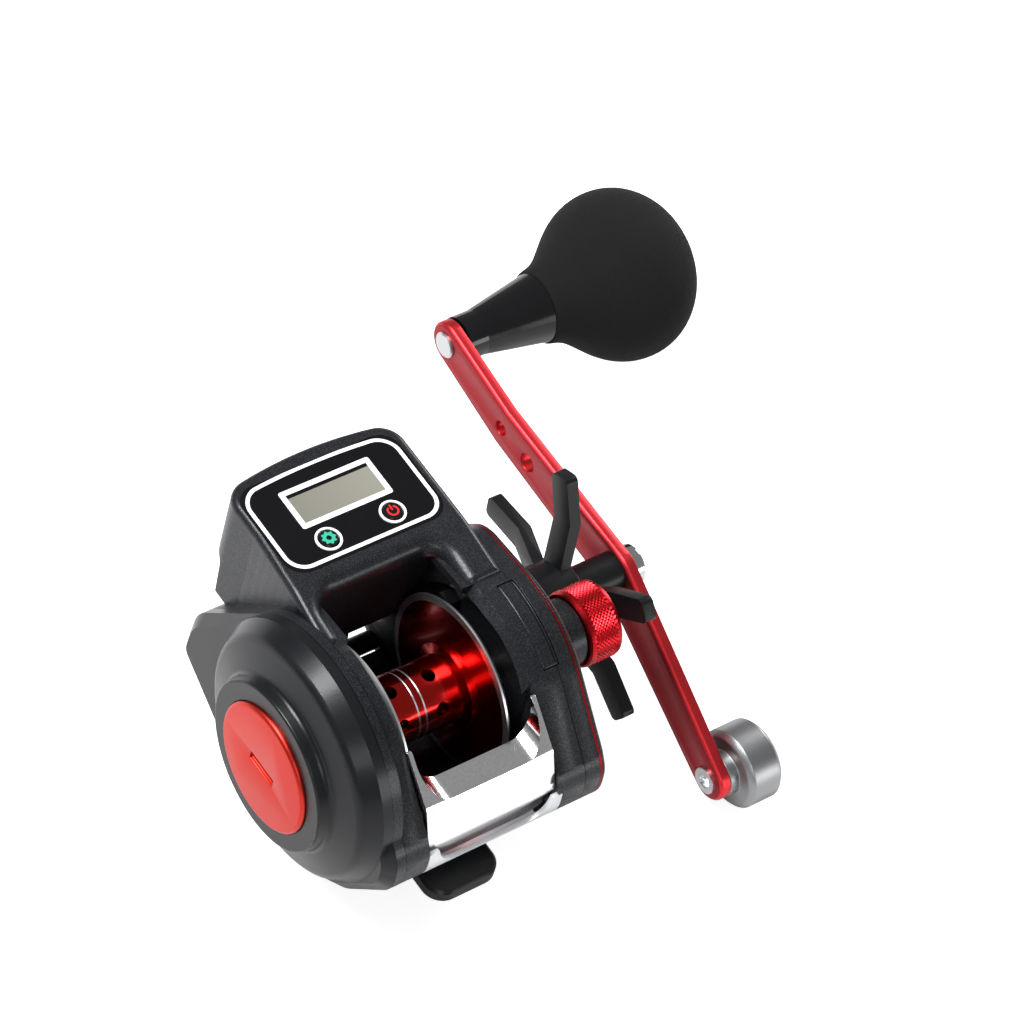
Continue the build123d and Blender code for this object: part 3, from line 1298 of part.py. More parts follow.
BOARD_THICK = 1.0
BOARD_DROP = 4.6
CELL_RADIUS = 8.0
CELL_THICK = 3.2
DOOR_THICK = 1.5
BASE_THICK = 1.6

LENS_TOP = HOUSING_TOP
LENS_LOW = LENS_TOP - LENS_THICK
BOARD_TOP = HOUSING_TOP - BOARD_DROP
BOARD_LOW = BOARD_TOP - BOARD_THICK
CELL_LOW = BOARD_LOW - CELL_THICK - RUN_FIT
ROOM_LEFT = -WINDOW_LEFT + HOUSING_WALL
ROOM_RIGHT = WINDOW_RIGHT - HOUSING_WALL
ROOM_REAR = APRON_Y + HOUSING_WALL
ROOM_FRONT = HOUSING_FRONT - HOUSING_BOW - HOUSING_WALL
FLOOR_FRONT = HOUSING_HEEL - HOUSING_WALL
CELL_MIDDLE_Y = (ROOM_REAR + FLOOR_FRONT) / 2
UPPER_LEFT = -HOUSING_LEFT + HOUSING_WALL
UPPER_RIGHT = HOUSING_RIGHT - HOUSING_WALL


def plan_block(x_mid, wide, y0, y1, z0, z1, corner):
    """A block with rounded vertical corners."""
    shape = block(x_mid - wide / 2, x_mid + wide / 2, y0, y1, z0, z1)
    return fillet(shape.edges().filter_by(Axis.Z), radius=corner)


def housing_plan():
    """The housing seen from above: a bowed front, and sides that spread out to the legs."""
    left, right = -HOUSING_LEFT, HOUSING_RIGHT
    shoulder = HOUSING_FRONT - HOUSING_BOW
    leg_side = LEFT_SEAM + EDGE
    sides = Polyline(
        (left, shoulder), (left, LEG_FRONT), (leg_side, LEG_REAR), (leg_side, 0), (right, 0), (right, shoulder)
    )
    front = ThreePointArc((right, shoulder), ((left + right) / 2, HOUSING_FRONT), (left, shoulder))
    plan = make_face(sides + front)
    return fillet(plan.vertices().group_by(Axis.Y)[-1], radius=HOUSING_CORNER)


def hood_block():
    """The hood's full block: a level top that sweeps down to the ends of the legs."""
    start, front = LEG_REAR + RUN_FIT, HOUSING_FRONT + OVERRUN
    hood = rounded(
        [
            (start, CASE_TOP * LEG_END_SHARE, 0),
            (HOUSING_REAR + LEG_THICK, HOUSING_TOP, LEG_SWEEP),
            (front, HOUSING_TOP, 0),
            (front, HOUSING_LIP, 0),
            (HOUSING_HEEL, HOUSING_FLOOR, HOUSING_WALL),
            (HOUSING_HEEL - EDGE, -SKIRT_LOW, 0),
            (LEG_FRONT, -SKIRT_LOW, 0),
            (start, CASE_TOP / 2, 0),
        ]
    )
    body = slab(hood, LEFT_SEAM, RIGHT_SEAM)
    return body & extrude(Pos(0, 0, -CASE_BOTTOM) * housing_plan(), amount=2 * CASE_BOTTOM)


def top_edges(shape, in_notch):
    """The edges round the hood's top, either those of the notch or those outside it."""
    found = []
    for face in shape.faces():
        if face.normal_at(face.center()).Z < EDGE or face.center().Z < CASE_TOP * TIP_SHARE:
            continue
        for edge in face.edges():
            first, middle, last = edge @ 0, edge @ 0.5, edge @ 1
            across = abs(first.Y - last.Y) + abs(first.Z - last.Z) < RUN_FIT
            crossing = across and abs(middle.Y - HOUSING_REAR) > RUN_FIT and middle.Y < LEG_FRONT
            places = (first, middle, last)
            inside = all(
                -WINDOW_LEFT - RUN_FIT < place.X < WINDOW_RIGHT + RUN_FIT and place.Y < HOUSING_REAR + RUN_FIT
                for place in places
            )
            if inside == in_notch and not crossing:
                found.append(edge)
    return found


def make_display_housing():
    """The counter's housing: a hooded box whose legs run down onto both rings."""
    notch = block(-WINDOW_LEFT, WINDOW_RIGHT, -OVERRUN, HOUSING_REAR, 0, 2 * CASE_TOP)
    notch = fillet(notch.edges().filter_by(Axis.Z).group_by(Axis.Y)[-1], radius=NOTCH_CORNER)
    body = hood_block() - notch
    body = fillet(top_edges(body, True), radius=NOTCH_ROUND)
    body = fillet(top_edges(body, False), radius=TOP_ROUND)
    body -= slab(side_outline(), LEFT_SEAM - OVERRUN, RIGHT_SEAM + OVERRUN)
    middle_profile = [
        (HOUSING_REAR, HOUSING_TOP - NOTCH_ROUND),
        (HOUSING_REAR + NOTCH_CORNER, HOUSING_TOP - NOTCH_ROUND),
        (HOUSING_HEEL, BOARD_TOP),
        (HOUSING_HEEL, HOUSING_FLOOR),
        (APRON_Y + APRON_THICK, HOUSING_FLOOR),
        (APRON_Y + APRON_THICK, -APRON_LOW),
        (APRON_Y, -APRON_LOW),
    ]
    middle = make_face(Polyline(*middle_profile, close=True))
    body += slab(middle, -WINDOW_LEFT + RUN_FIT, WINDOW_RIGHT - RUN_FIT)
    below = block(-WINDOW_LEFT, WINDOW_RIGHT, APRON_Y + APRON_THICK, HOUSING_FRONT, -2 * SKIRT_LOW, HOUSING_FLOOR)
    body -= below
    legs = leg_band(LEG_THICK - RUN_FIT, LEG_REAR + RUN_FIT, LEG_FRONT - RUN_FIT)
    body += slab(legs, LEFT_SEAM, -WINDOW_LEFT + 2 * EDGE) + slab(legs, WINDOW_RIGHT - 2 * EDGE, RIGHT_SEAM)
    body -= block(ROOM_LEFT, ROOM_RIGHT, ROOM_REAR, FLOOR_FRONT, HOUSING_FLOOR - OVERRUN, BOARD_TOP)
    body -= block(UPPER_LEFT, UPPER_RIGHT, ROOM_REAR, ROOM_FRONT, BOARD_LOW - EDGE, LENS_LOW - EDGE)
    body -= plan_block(
        LENS_MIDDLE_X, LENS_WIDE, LENS_REAR, LENS_REAR + LENS_LONG, LENS_LOW, HOUSING_TOP + OVERRUN, LENS_CORNER
    )
    lip = HOUSING_WALL
    body -= plan_block(
        LENS_MIDDLE_X,
        LENS_WIDE - 2 * lip,
        LENS_REAR + lip,
        LENS_REAR + LENS_LONG - lip,
        LENS_LOW - 2 * EDGE,
        HOUSING_TOP + OVERRUN,
        LENS_CORNER - lip,
    )
    return body


def button_places():
    return [(BUTTON_LEFT_X, BUTTON_Y), (BUTTON_RIGHT_X, BUTTON_Y)]


def make_display_lens():
    """The glossy face plate, bored for the two buttons."""
    inset = RUN_FIT
    lens = plan_block(
        LENS_MIDDLE_X,
        LENS_WIDE - 2 * inset,
        LENS_REAR + inset,
        LENS_REAR + LENS_LONG - inset,
        LENS_LOW,
        LENS_TOP,
        LENS_CORNER - inset,
    )
    for x, y in button_places():
        lens -= Pos(x, y, LENS_TOP) * Cylinder(BUTTON_RING, 4 * LENS_THICK)
    return lens


def make_lcd_panel():
    return plan_block(LCD_MIDDLE_X, LCD_WIDE, LCD_REAR, LCD_FRONT, BOARD_TOP, LENS_LOW, EDGE)


def make_circuit_board():
    board = block(
        UPPER_LEFT + SLIP, UPPER_RIGHT - SLIP, ROOM_REAR + SLIP, ROOM_FRONT - SLIP, BOARD_LOW, BOARD_TOP
    )
    return board


def make_button_switches():
    """The two small switches on the board, below the buttons."""
    switches = []
    low = (Align.CENTER, Align.CENTER, Align.MIN)
    height = BUTTON_BASE - BUTTON_TRAVEL - EDGE / 2 - BOARD_TOP
    for x, y in button_places():
        switches.append(Pos(x, y, BOARD_TOP) * Box(BUTTON_RING, BUTTON_RING, height, align=low))
    return Compound(switches)


BUTTON_BASE = LENS_LOW - BUTTON_FLANGE - RUN_FIT


def make_button(place):
    """A domed button with a flange that keeps it under the face plate."""
    low = (Align.CENTER, Align.CENTER, Align.MIN)
    cap = Cylinder(BUTTON_RADIUS, LENS_TOP + BUTTON_PROUD - BUTTON_BASE, align=low)
    cap = chamfer(cap.edges().group_by(Axis.Z)[-1], length=BUTTON_PROUD / 2)
    flange = Cylinder(BUTTON_RING + EDGE, BUTTON_FLANGE, align=low)
    return Pos(*place, BUTTON_BASE) * (cap + flange)


def make_button_rings():
    """The bright rings pressed into the face plate round the buttons."""
    rings = []
    low = (Align.CENTER, Align.CENTER, Align.MIN)
    for x, y in button_places():
        ring = Cylinder(BUTTON_RING, LENS_THICK + BUTTON_PROUD / 2, align=low)
        ring -= Pos(0, 0, -OVERRUN) * Cylinder(BUTTON_RADIUS + SLIP, 4 * LENS_THICK, align=low)
        rings.append(Pos(x, y, LENS_LOW) * ring)
    return Compound(rings)


def make_coin_cell():
    low = (Align.CENTER, Align.CENTER, Align.MIN)
    cell = Cylinder(CELL_RADIUS, CELL_THICK, align=low)
    cell = chamfer(cell.edges(), length=EDGE / 2)
    return Pos(GUIDE_MIDDLE, CELL_MIDDLE_Y, CELL_LOW) * cell


def make_display_base():
    """The floor of the housing, with a round door for the cell."""
    base = block(
        ROOM_LEFT + RUN_FIT,
        ROOM_RIGHT - RUN_FIT,
        ROOM_REAR + RUN_FIT,
        FLOOR_FRONT - RUN_FIT,
        HOUSING_FLOOR,
        HOUSING_FLOOR + BASE_THICK,
    )
    return base - Pos(GUIDE_MIDDLE, CELL_MIDDLE_Y, HOUSING_FLOOR) * Cylinder(CELL_RADIUS + RUN_FIT, 4 * BASE_THICK)


def make_battery_door():
    low = (Align.CENTER, Align.CENTER, Align.MIN)
    door = Cylinder(CELL_RADIUS, CELL_LOW - RUN_FIT - HOUSING_FLOOR, align=low)
    door -= Pos(0, 0, DOOR_THICK) * Cylinder(CELL_RADIUS - DOOR_THICK, 2 * CELL_RADIUS, align=low)
    slot = Box(CELL_RADIUS, DIAL_SLOT_WIDE, 2 * DIAL_SLOT_DEEP)
    return Pos(GUIDE_MIDDLE, CELL_MIDDLE_Y, HOUSING_FLOOR) * (door - slot)


PIECES = {
    "main_frame": make_main_frame,
    "side_insert": lambda: insert_pocket(RUN_FIT),
    "reel_foot": make_reel_foot,
    "foot_screws": make_foot_screws,
    "left_cover": make_left_cover,
    "cover_screws": make_cover_screws,
    "brake_dial": make_brake_dial,
    "magnet_carrier": make_magnet_carrier,
    "brake_magnets": make_brake_magnets,
    "spool": make_spool,
    "counter_magnets": make_counter_magnets,
    "spool_sensor": make_spool_sensor,
    "spool_shaft": make_spool_shaft,
    "ball_bearings": make_ball_bearings,
    "pinion": make_pinion,
    "clutch_yoke": make_yoke,
    "yoke_posts": make_yoke_posts,
    "yoke_springs": make_yoke_springs,
    "clutch_slider": make_clutch_slider,
    "thumb_bar": make_thumb_bar,
    "chin_plate": make_chin_plate,
    "right_cover": make_right_cover,
    "accent_ring": make_accent_ring,
    "drive_shaft": make_drive_shaft,
    "drive_gear": make_drive_gear,
    "drag_washers": make_drag_washers,
    "pressure_plate": make_pressure_plate,
    "one_way_bearing": make_one_way_bearing,
    "spring_washers": make_spring_washers,
    "star_drag": make_star_drag,
    "crank_spacer": make_crank_spacer,
    "handle_arm": make_handle_arm,
    "handle_nut": make_handle_nut,
    "counterweight": make_counterweight,
    "weight_screw": make_weight_screw,
    "knob_shaft": make_knob_shaft,
    "knob_neck": make_knob_core,
    "knob_grip": make_knob_grip,
    "knob_cap": make_knob_cap,
    "cast_control_cap": make_cast_cap,
    "worm_shaft": make_worm_shaft,
    "worm_gear": make_worm_gear,
    "carry_gear": make_carry_gear,
    "frame_bushes": make_frame_bushes,
    "worm_guard": make_worm_guard,
    "guide_rail": make_guide_rail,
    "line_guide": make_line_guide,
    "guide_eye": make_guide_eye,
    "line_pawl": make_pawl,
    "display_housing": make_display_housing,
    "display_base": make_display_base,
    "display_lens": make_display_lens,
    "lcd_panel": make_lcd_panel,
    "circuit_board": make_circuit_board,
    "button_switches": make_button_switches,
    "mode_button": lambda: make_button(button_places()[0]),
    "power_button": lambda: make_button(button_places()[1]),
    "button_rings": make_button_rings,
    "coin_cell": make_coin_cell,
    "battery_door": make_battery_door,
}

for piece_name, make_piece in PIECES.items():
    save(piece_name, make_piece())
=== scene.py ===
"""Line counter reel: the pieces and finishes that are seen, built round the CAD frame."""
import json
from math import atan2, hypot, pi, radians

import bpy
from bpy.props import FloatProperty, FloatVectorProperty, IntProperty, PointerProperty
from mathutils import Matrix, Vector

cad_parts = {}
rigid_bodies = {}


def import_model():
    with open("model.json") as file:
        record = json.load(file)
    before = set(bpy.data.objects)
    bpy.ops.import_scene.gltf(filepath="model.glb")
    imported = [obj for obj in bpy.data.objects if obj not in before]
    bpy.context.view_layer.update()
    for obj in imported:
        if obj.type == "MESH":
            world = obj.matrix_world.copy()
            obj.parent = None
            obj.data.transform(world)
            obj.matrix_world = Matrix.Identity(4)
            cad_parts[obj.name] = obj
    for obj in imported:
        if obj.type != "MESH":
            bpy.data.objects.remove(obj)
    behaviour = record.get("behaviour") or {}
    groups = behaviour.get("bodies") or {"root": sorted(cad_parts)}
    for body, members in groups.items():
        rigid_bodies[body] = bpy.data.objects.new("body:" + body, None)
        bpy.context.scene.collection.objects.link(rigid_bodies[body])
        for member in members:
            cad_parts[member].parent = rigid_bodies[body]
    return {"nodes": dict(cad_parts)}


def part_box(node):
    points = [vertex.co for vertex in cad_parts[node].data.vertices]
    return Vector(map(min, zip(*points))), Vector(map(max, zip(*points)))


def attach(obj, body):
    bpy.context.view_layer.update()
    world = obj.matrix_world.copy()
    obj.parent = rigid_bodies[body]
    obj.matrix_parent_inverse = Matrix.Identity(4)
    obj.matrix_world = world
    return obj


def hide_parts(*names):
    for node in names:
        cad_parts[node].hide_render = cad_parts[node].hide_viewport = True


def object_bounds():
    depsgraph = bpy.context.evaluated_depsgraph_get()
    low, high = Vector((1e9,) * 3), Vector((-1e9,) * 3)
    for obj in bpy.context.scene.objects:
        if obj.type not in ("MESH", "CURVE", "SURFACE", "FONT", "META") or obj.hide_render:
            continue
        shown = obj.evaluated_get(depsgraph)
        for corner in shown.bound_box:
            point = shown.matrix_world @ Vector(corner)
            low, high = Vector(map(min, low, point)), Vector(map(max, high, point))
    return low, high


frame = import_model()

bl_info = {
    "name": "Line Counter Reel",
    "version": (1, 0, 0),
    "blender": (4, 5, 0),
    "location": "3D View > Sidebar > Reel",
    "description": "Builds the seen pieces of a line counter reel round its CAD frame",
    "category": "Object",
}

CAD_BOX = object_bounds()
MM = 0.001

# Camera: its directions, its place in metres, its sensor and lens in millimetres

CAMERA_RIGHT = Vector((0.80712, -0.55853, 0.19129))
CAMERA_UP = Vector((0.34948, 0.71314, 0.60769))
CAMERA_BACK = Vector((-0.47583, -0.42363, 0.77079))
CAMERA_PLACE = Vector((-0.34970, -0.32010, 0.65628))
CAMERA_SENSOR = 36
CAMERA_LENS = 159.06

# Floor, surroundings and lamps in metres: a lamp has a direction from the reel, a distance, a side and watts

FLOOR_SIDE = 6
FLOOR_GLOW = 0.75
WORLD_LEVEL = 0.32
WORLD_RAYS = (("Is Glossy Ray", 0.3), ("Is Transmission Ray", 1.0), ("Is Camera Ray", 1.0))
LAMP_AIM = Vector((0.02, 0.01, 0.02))
LAMPS = (
    ("key_lamp", Vector((-0.45, 0.3, 1.0)), 0.9, 0.4, 14.0),
    ("fill_lamp", Vector((-0.6, -0.9, 0.7)), 1.2, 0.4, 2.5),
    ("rim_lamp", Vector((0.9, 0.35, 0.45)), 1.0, 0.35, 5.0),
    ("front_lamp", Vector((0.45, -0.9, 0.12)), 1.0, 0.35, 2.2),
)

# Places on the reel in millimetres, x along the spool's axis and z up from it

AXIS_HEIGHT = 25.5
LEFT_SEAM = -19.3
RIGHT_SEAM = 18.7
COVER_SEAM = -21.3
# Painted shade in each seam's gap: half its width, its soft edge and its colour
SEAM_HALF = 0.13
SEAM_SOFT = 0.08
SEAM_PAINTED_SHADE = (0.0015, 0.0015, 0.0017)

FLANGE_RIM = 15.7
DRUM_RADIUS = 6.9
SCRIBED_MIDDLE = -2.25
SCRIBED_APART = 0.75
SCRIBED_HALF = 0.16

# The faceplate's print: boxes with round corners, each by its middle, half sizes and corner radius

PRINT_BORDER = {"middle": (0.45, 30.2), "half": (15.6, 9.5), "corner": 3.6}
WINDOW_FRAME = {"middle": (0.6, 32.2), "half": (9.45, 4.3), "corner": 0.5}
DISPLAY_GLASS = {"middle": (0.5, 31.55), "half": (8.6, 3.15), "corner": 0.25}
BORDER_LINE_HALF = 0.36
WINDOW_LINE_HALF = 0.5
PRINT_SOFT = 0.1

# The border's front side is bowed: by 1 at BOW_HALF from its middle, and not at all at its rear

BOW_MIDDLE = 0.4
BOW_HALF = 16
BOW_FROM = 30
BOW_SOFT = 12

# The buttons and the symbols on their tops

MODE_BUTTON = (-6.15, 24.2)
POWER_BUTTON = (7.3, 24.2)
BUTTON_TOP = 21.0
SYMBOL_SOFT = 0.06
POWER_RADIUS = 0.95
POWER_RING_HALF = 0.17
POWER_GAP = 0.55
POWER_BAR_HALF = 0.15
POWER_BAR_MIDDLE = 0.75
POWER_BAR_LONG = 0.6
GEAR_RADIUS = 1.25
GEAR_HOLE = 0.5
GEAR_TEETH = 8
GEAR_TOOTH = 0.16

# The cast control cap: how far in from its end, and how far under its outer radius, each ring lies

CAP_INNER_END = ((0, 1.2), (0, 0.45), (0.3, 0.15))
CAP_OUTER_END = ((0.3, 0.15), (0, 0.5), (0, 1.5), (0.35, 1.7), (0.35, 2.3), (0, 2.5), (0, 3.3))

# Its knurl: how far from each end it starts, how near the outer radius its points lie, and a smoothing angle

KNURL_FROM_INNER = 0.9
KNURL_FROM_OUTER = 0.8
KNURL_REACH = 0.05
KNURL_SMOOTH = 24

# The grip's outline: places along the knob's shaft and radii there

GRIP_STATIONS = (
    (75.9, 6.3), (75.7, 6.9), (75.9, 7.3), (76.6, 7.5), (78.2, 7.8), (79.8, 8.5), (81.2, 9.4), (82.6, 10.5),
    (84.0, 11.7), (85.4, 12.9), (86.9, 14.1), (88.6, 15.2), (90.5, 16.1), (92.8, 16.8), (95.4, 17.0),
    (97.6, 16.8), (99.8, 16.2), (101.8, 15.2), (103.6, 13.9), (105.1, 12.4), (106.3, 10.8), (107.1, 9.3),
    (107.6, 8.1), (107.7, 7.8), (107.4, 7.7),
)
GRIP_RADIUS = max(radius for x, radius in GRIP_STATIONS)
GRIP_SMOOTH = 60

# How a CAD node's copy is cleaned and rounded: a distance in millimetres, and angles in degrees

MERGE_DISTANCE = 0.003
FLAT_ANGLE = 0.6
SHARP_ANGLE = 28
ROUNDED_SMOOTH = 40

# How far the normal of a flat side of the handle arm points along the spool's axis, at the least

ARM_FACE_NORMAL = 0.8


def paint(code):
    """The linear colour of a six digit screen colour."""
    parts = [int(code[start:start + 2], 16) / 255 for start in (0, 2, 4)]
    return tuple(part / 12.92 if part <= 0.04045 else ((part + 0.055) / 1.055) ** 2.4 for part in parts)


def colour_property(name, description, code):
    """A colour that a user can change, with a screen colour as its default."""
    return FloatVectorProperty(
        name=name, description=description, subtype="COLOR", size=3, min=0, max=1, default=paint(code)
    )


def length_property(name, description, millimetres):
    """A length that a user can change, with its default in millimetres."""
    return FloatProperty(
        name=name, description=description, default=millimetres * MM,
        subtype="DISTANCE", unit="LENGTH", precision=4,
    )


def count_property(name, description, default, least):
    """A whole number that a user can change."""
    return IntProperty(name=name, description=description, default=default, min=least)


class ReelColours(bpy.types.PropertyGroup):
    """The colours of the reel."""

    case: colour_property("Case", "Flecked lacquer of the frame, the housing and the right cover", "16171a")
    fleck: colour_property("Fleck", "Metal flecks in the lacquer", "505257")
    cover: colour_property("Side cover", "Satin lacquer of the left side cover", "131417")
    disc: colour_property("Dial", "Anodised face of the brake dial", "c4342b")
    spool: colour_property("Spool", "Anodised spool", "c01812")
    arm: colour_property("Arm", "Anodised faces of the handle arm", "a03036")
    arm_edge: colour_property("Arm edge", "Bright edges of the handle arm", "d0343a")
    accent: colour_property("Accent", "Red trim line and the knob's end cap", "7c191b")
    cap: colour_property("Cast cap", "Anodised cast control cap", "b31d24")
    satin: colour_property("Satin black", "Star drag, foot and small moulded parts", "0d0e10")
    gloss: colour_property("Gloss black", "Faceplate, knob neck and buttons", "0b0b0d")
    foam: colour_property("Foam", "Foam of the knob's grip", "0f0f10")
    lcd: colour_property("Display", "Unlit display glass", "74736a")
    print_white: colour_property("Print", "White lines printed on the faceplate", "e9eaea")
    steel: colour_property("Steel", "Brushed and polished steel", "c9cacc")
    pearl: colour_property("Pearl", "Silver lacquer of the plate under the thumb bar", "d3d4d8")
    brass: colour_property("Brass", "Gears and bushes", "b98f45")
    board: colour_property("Board", "Circuit board lacquer", "1f5a36")
    gear_mark: colour_property("Gear mark", "Gear symbol of the left button", "2f9c7e")
    power_mark: colour_property("Power mark", "Power symbol of the right button", "e0252b")


class ReelSizes(bpy.types.PropertyGroup):
    """The sizes of the pieces that are modelled here."""

    edge: length_property("Edge", "Rounding of a moulded edge", 0.45)
    fine_edge: length_property("Fine edge", "Rounding of a machined edge", 0.2)
    star_edge: length_property("Star edge", "Rounding of the star drag's arms", 0.5)
    grip_radius: length_property("Grip radius", "Radius of the knob's grip at its middle", GRIP_RADIUS)
    fleck_size: length_property("Fleck size", "Distance between metal flecks", 0.17)
    floor_gap: length_property("Floor gap", "Distance from the lowest piece to the floor", 0.6)
    knurl_deep: length_property("Knurl depth", "Depth of the cast control cap's knurl", 0.26)
    knurl_around: count_property("Knurl columns", "Points of the knurl round the cap", 104, 24)
    knurl_rows: count_property("Knurl rows", "Rows of points along the cap", 14, 4)
    around: count_property("Sides", "Faces round the knob's grip", 96, 24)


def sizes():
    """The sizes that the user can change."""
    return bpy.context.scene.reel_sizes


def colours():
    """The colours that the user can change."""
    return bpy.context.scene.reel_colours


# Shader maths


class Reading:
    """A number that a material reads or works out at each point of the surface."""

    def __init__(self, finish, socket):
        self.finish = finish
        self.socket = socket

    def work(self, operation, *others, clamp=False):
        """Adds the Math node of one operation on this number and the others."""
        values = dict(enumerate((self,) + others))
        return self.finish.node("Math", {"operation": operation, "use_clamp": clamp}, values)

    def __add__(self, other):
        return self.work("ADD", other)

    __radd__ = __add__

    def __sub__(self, other):
        return self.work("SUBTRACT", other)

    def __rsub__(self, other):
        return (self * -1) + other

    def __mul__(self, other):
        return self.work("MULTIPLY", other)

    __rmul__ = __mul__

    def __truediv__(self, other):
        return self.work("DIVIDE", other)

    def __pow__(self, other):
        return self.work("POWER", other)

    def __abs__(self):
        return self.work("ABSOLUTE")

    def least(self, other):
        """The smaller of two numbers."""
        return self.work("MINIMUM", other)

    def most(self, other):
        """The larger of two numbers."""
        return self.work("MAXIMUM", other)

    def above(self, limit, soft):
        """1 where the number is above the limit, 0 where it is below, with a soft step between."""
        return ((self - limit) / soft).work("ADD", 0.5, clamp=True)

    def below(self, limit, soft):
        """1 where the number is below the limit, 0 where it is above, with a soft step between."""
        return ((limit - self) / soft).work("ADD", 0.5, clamp=True)


class Finish:
    """One material: its shader, and the nodes that vary it over the surface."""

    def __init__(self, name, **constants):
        self.material = bpy.data.materials.new(name)
        self.material.use_nodes = True
        self.tree = self.material.node_tree
        self.shader = self.tree.nodes["Principled BSDF"]
        self.coordinates = self.tree.nodes.new("ShaderNodeTexCoord").outputs["Object"]
        self.vary(**constants)

    def feed(self, socket, value):
        """Links a reading to a socket, or sets the socket to a constant."""
        if isinstance(value, Reading):
            self.tree.links.new(value.socket, socket)
        elif isinstance(value, bpy.types.NodeSocket):
            self.tree.links.new(value, socket)
        elif socket.type == "RGBA":
            socket.default_value = (*value[:3], 1)
        else:
            socket.default_value = value

    def node(self, kind, settings, inputs, output=0):
        """Adds a node of one kind, sets it up, fills its sockets and gives one of its outputs."""
        made = self.tree.nodes.new("ShaderNode" + kind)
        for name, value in settings.items():
            setattr(made, name, value)
        for name, value in inputs.items():
            self.feed(made.inputs[name], value)
        return Reading(self, made.outputs[output])

    def vary(self, **values):
        """Feeds readings or constants to the shader's sockets, each named with _ for a space."""
        for socket, value in values.items():
            self.feed(self.shader.inputs[socket.replace("_", " ")], value)

    def mix(self, share, first, second):
        """A colour between two colours, by a share from 0 to 1."""
        return self.node("Mix", {"data_type": "RGBA"}, {0: share, 6: first, 7: second}, 2)

    def axis(self, name):
        """One object coordinate, in millimetres."""
        return self.node("SeparateXYZ", {}, {0: self.coordinates}, name) / MM

    def axes(self):
        """The three object coordinates, in millimetres, with z from the spool's axis."""
        return self.axis("X"), self.axis("Y"), self.axis("Z") - AXIS_HEIGHT

    def noise(self, size, detail=3.0, rough=0.5, stretch=None):
        """Noise whose patches are about size wide, drawn out along an axis by a stretch."""
        place = self.coordinates
        if stretch:
            place = self.node("Mapping", {}, {"Vector": place, "Scale": stretch})
        inputs = {"Vector": place, "Scale": 1 / size, "Detail": detail, "Roughness": rough}
        return self.node("TexNoise", {}, inputs, "Fac")

    def cells(self, size):
        """A random number for each small cell, and the distance from the cell's middle."""
        inputs = {"Vector": self.coordinates, "Scale": 1 / size}
        colour = self.node("TexVoronoi", {}, inputs, "Color")
        chance = self.node("SeparateColor", {}, {0: colour}, "Red")
        distance = self.node("TexVoronoi", {}, inputs, "Distance")
        return chance, distance

    def bump(self, height, distance):
        """A fine relief of the surface."""
        inputs = {"Height": height, "Distance": distance, "Strength": 1.0}
        self.vary(Normal=self.node("Bump", {}, inputs, "Normal"))


# Finishes


def toned(colour, share):
    """A colour with each of its parts scaled, and held at full."""
    return [min(1, share * part) for part in colour]


def flecked(name, colour, fleck, share, rough, coat, seams=(), satin_below=None):
    """A lacquer with fine metal flecks, slightly uneven in gloss.

    It has painted shade, black, in the gap at each seam's place along the spool, and has no flecks below
    satin_below.
    """
    made = Finish(name, Coat_Roughness=0.18, Coat_Weight=coat, IOR=1.45, Specular_IOR_Level=0.25)
    chance, distance = made.cells(sizes().fleck_size)
    spark = chance.above(1 - share, 0.3) * distance.below(0.4, 0.4)
    cloud = made.noise(7 * MM)
    grit = made.noise(0.3 * MM, 3, 0.6)
    along = made.axis("X")
    if satin_below is not None:
        spark = spark * along.above(satin_below, 0.1)
    base = made.mix(cloud, toned(colour, 0.85), toned(colour, 1.15))
    base = made.mix(spark * (0.3 + 0.7 * grit), base, fleck)
    for seam in seams:
        # Painted shade: black in the gap at each seam
        base = made.mix(abs(along - seam).above(SEAM_HALF, SEAM_SOFT), SEAM_PAINTED_SHADE, base)
    made.vary(
        Base_Color=base,
        Metallic=0.25 + 0.45 * spark,
        Roughness=rough + 0.1 * cloud - 0.06 * spark,
    )
    made.bump(grit + 0.3 * spark, 0.014 * MM)
    return made


def plain_lacquer(name, colour, rough, grain=0.4, depth=0.012, **constants):
    """A moulded or painted surface: a little colour drift, fine grain, worn gloss."""
    made = Finish(name, **constants)
    cloud = made.noise(5 * MM)
    grit = made.noise(grain * MM, 4, 0.6)
    made.vary(
        Base_Color=made.mix(cloud, toned(colour, 0.85), toned(colour, 1.2)),
        Roughness=rough + 0.12 * (cloud - 0.5) + 0.06 * (grit - 0.5),
    )
    made.bump(grit, depth * MM)
    return made


def metal(name, colour, rough, stretch=None, depth=0.006, grain=0.5):
    """A metal surface, brushed along an axis where a stretch is given."""
    made = Finish(name, Metallic=1.0)
    drift = made.noise(6 * MM)
    lines = made.noise(grain * MM, 3, 0.6, stretch)
    made.vary(
        Base_Color=made.mix(lines, toned(colour, 0.86), toned(colour, 1.1)),
        Roughness=rough + 0.08 * (drift - 0.5) + 0.12 * (lines - 0.5),
    )
    made.bump(lines, depth * MM)
    return made


def foam_finish(colour):
    """Closed cell foam: fine pits and a dull, slightly dusty skin, its colour darker in the pits as painted
    shade.
    """
    made = Finish("foam_skin", Specular_IOR_Level=0.2)
    pits = made.noise(0.22 * MM, 3, 0.65)
    patch = made.noise(3.5 * MM, 4, 0.6)
    made.vary(
        # Painted shade: darker where the relief is low, in the pits, with patches of tone that differ at
        # random
        Base_Color=made.mix(pits * 0.6 + patch * 0.4, toned(colour, 0.6), toned(colour, 1.5)),
        Roughness=0.82 + 0.14 * patch,
    )
    made.bump(pits + 0.4 * patch, 0.06 * MM)
    return made


